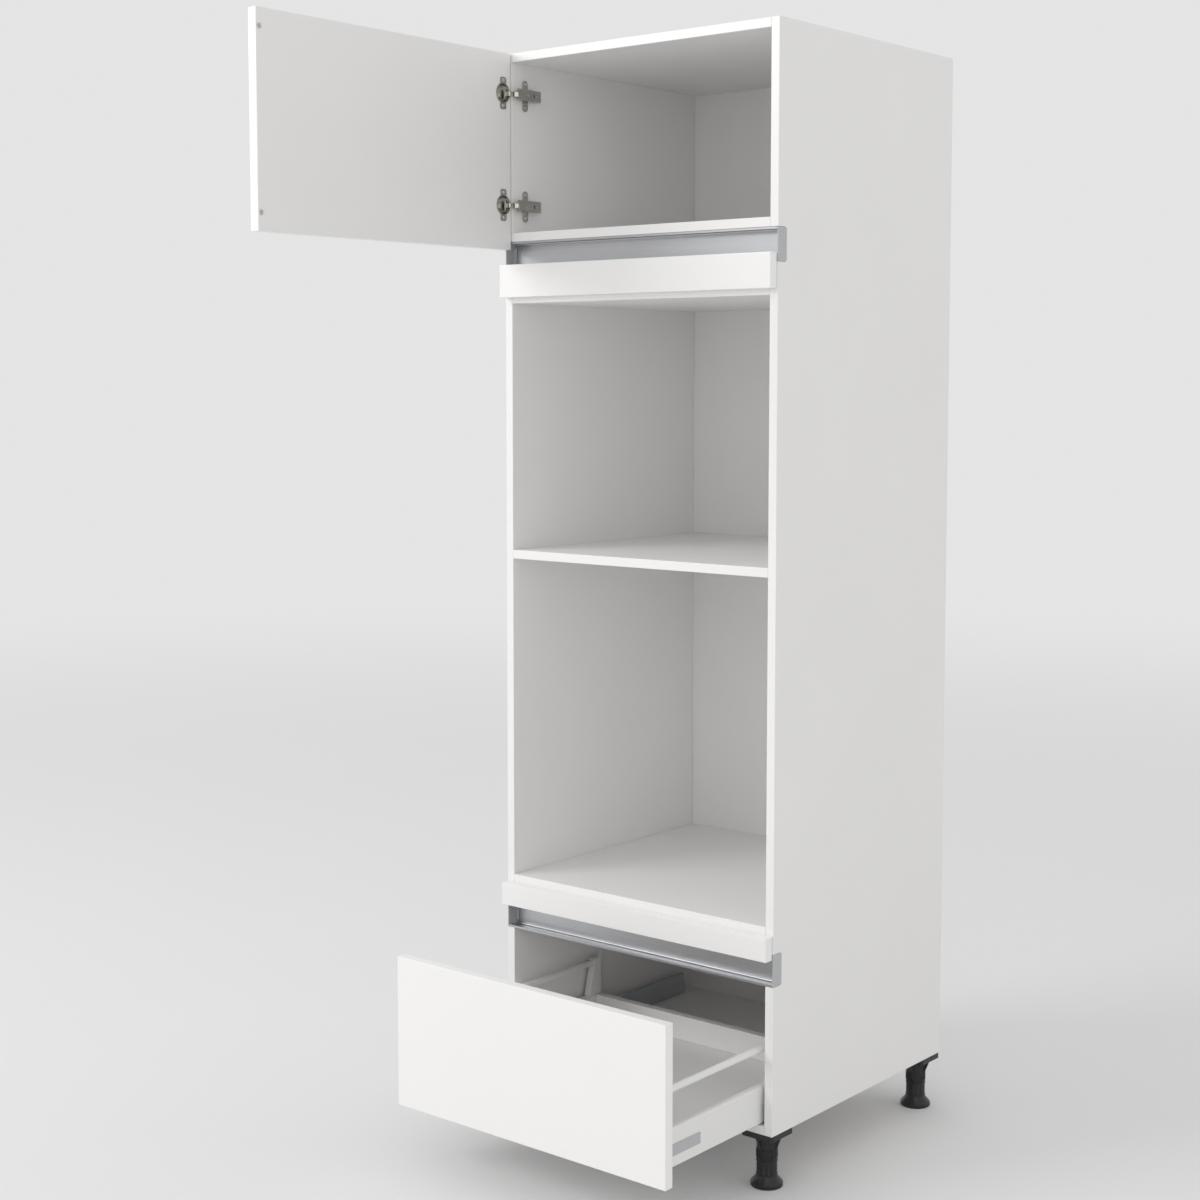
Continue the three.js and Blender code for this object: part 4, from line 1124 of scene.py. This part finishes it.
class CABINET_OT_studio(bpy.types.Operator):
    """Set the pale floor, the soft lights and the camera"""

    bl_idname = "cabinet.studio"
    bl_label = "Studio"

    def execute(self, context):
        scene, studio = context.scene, context.scene.cabinet_studio
        scene.view_settings.view_transform = "Standard"
        self.lay_floor(scene.cabinet_finishes.floor, studio.sky)
        self.light_sky(scene, studio.sky)
        self.hang_light("key_light", studio.key_power, KEY_PLACE, KEY_WIDTH)
        self.hang_light("fill_light", studio.fill_power, FILL_PLACE, FILL_WIDTH)
        self.set_camera(scene, studio.lens)
        return {"FINISHED"}

    def lay_floor(self, colour, sky):
        """A matt floor that turns to the sky's brightness far from the cabinet."""
        shape = bmesh.new()
        bmesh.ops.create_circle(shape, cap_ends=True, segments=96, radius=FLOOR_RADIUS)
        mesh = to_mesh(shape, "studio_floor")
        paper = Finish("matt_studio_floor", colour, Roughness=0.9, IOR=1.3)
        paper.layer(period_mm=500, detail=3.0, shades=(0.985, 1.0))
        tree = paper.tree
        distance = add_node(tree, "ShaderNodeVectorMath", {0: paper.place}, operation="LENGTH")
        near, away = FLOOR_FADE
        inputs = {"Value": distance.outputs["Value"], "From Min": near, "From Max": away}
        fade = add_node(tree, "ShaderNodeMapRange", inputs, interpolation_type="SMOOTHSTEP")
        glow = add_node(tree, "ShaderNodeEmission", {"Color": WHITE, "Strength": sky})
        blend = add_node(tree, "ShaderNodeMixShader", {0: fade, 1: paper.shader, 2: glow})
        feed(tree, tree.nodes["Material Output"].inputs["Surface"], blend)
        mesh.materials.append(paper.material)
        place_in_scene("studio_floor", mesh)

    def light_sky(self, scene, strength):
        """The same pale light from everywhere."""
        world = bpy.data.worlds.new("even_white_sky")
        world.use_nodes = True
        background = world.node_tree.nodes["Background"]
        background.inputs["Color"].default_value = WHITE
        background.inputs["Strength"].default_value = strength
        scene.world = world

    def hang_light(self, name, power, place, width):
        """A large soft panel that faces the middle of the cabinet."""
        lamp = bpy.data.lights.new(name, "AREA")
        lamp.energy = power
        lamp.size = width
        panel = place_in_scene(name, lamp)
        panel.location = place
        aim = Vector(LIT_POINT) - Vector(place)
        panel.rotation_euler = aim.to_track_quat("-Z", "Y").to_euler()

    def set_camera(self, scene, lens):
        """Camera to the front right, a little above the middle, looking slightly down."""
        camera = bpy.data.cameras.new("camera")
        camera.sensor_fit = "HORIZONTAL"
        camera.sensor_width = 36.0
        camera.lens = lens
        camera.shift_y = CAMERA_SHIFT
        camera.clip_end = 200.0
        viewer = place_in_scene("camera", camera)
        viewer.location = CAMERA_PLACE
        tilt = math.radians(90 - CAMERA_PITCH)
        viewer.rotation_euler = (tilt, 0.0, math.radians(CAMERA_YAW))
        scene.camera = viewer


class CABINET_PT_pieces(bpy.types.Panel):
    """Lists the cabinet's operators and settings."""

    bl_idname = "CABINET_PT_pieces"
    bl_label = "Tall oven housing"
    bl_space_type = "VIEW_3D"
    bl_region_type = "UI"
    bl_category = "Cabinet"

    def draw(self, context):
        for operator in OPERATORS:
            self.layout.operator(operator.bl_idname)
        for name in SETTINGS:
            group = getattr(context.scene, name)
            box = self.layout.box()
            for setting in group.bl_rna.properties:
                if setting.identifier not in ("rna_type", "name"):
                    box.prop(group, setting.identifier)


OPERATORS = (
    CABINET_OT_carcass_boards,
    CABINET_OT_fronts,
    CABINET_OT_grip_channels,
    CABINET_OT_cup_hinges,
    CABINET_OT_drawer,
    CABINET_OT_runners,
    CABINET_OT_legs,
    CABINET_OT_studio,
)
SETTINGS = {
    "cabinet_finishes": CabinetFinishes,
    "cabinet_boards": BoardSizes,
    "cabinet_hardware": HardwareSizes,
    "cabinet_studio": StudioSettings,
}


def register():
    for group in (*SETTINGS.values(), *OPERATORS, CABINET_PT_pieces):
        bpy.utils.register_class(group)
    for name, group in SETTINGS.items():
        setattr(bpy.types.Scene, name, bpy.props.PointerProperty(type=group))


def unregister():
    for name in SETTINGS:
        delattr(bpy.types.Scene, name)
    for group in (CABINET_PT_pieces, *reversed(OPERATORS), *reversed(SETTINGS.values())):
        bpy.utils.unregister_class(group)


def run_operator(operator):
    """Runs one operator and stops the script if it didn't finish."""
    family, name = operator.bl_idname.split(".")
    if getattr(getattr(bpy.ops, family), name)() != {"FINISHED"}:
        raise RuntimeError(f"{operator.bl_label} did not finish")


def main():
    register()
    for operator in OPERATORS:
        run_operator(operator)


if __name__ == "__main__":
    main()
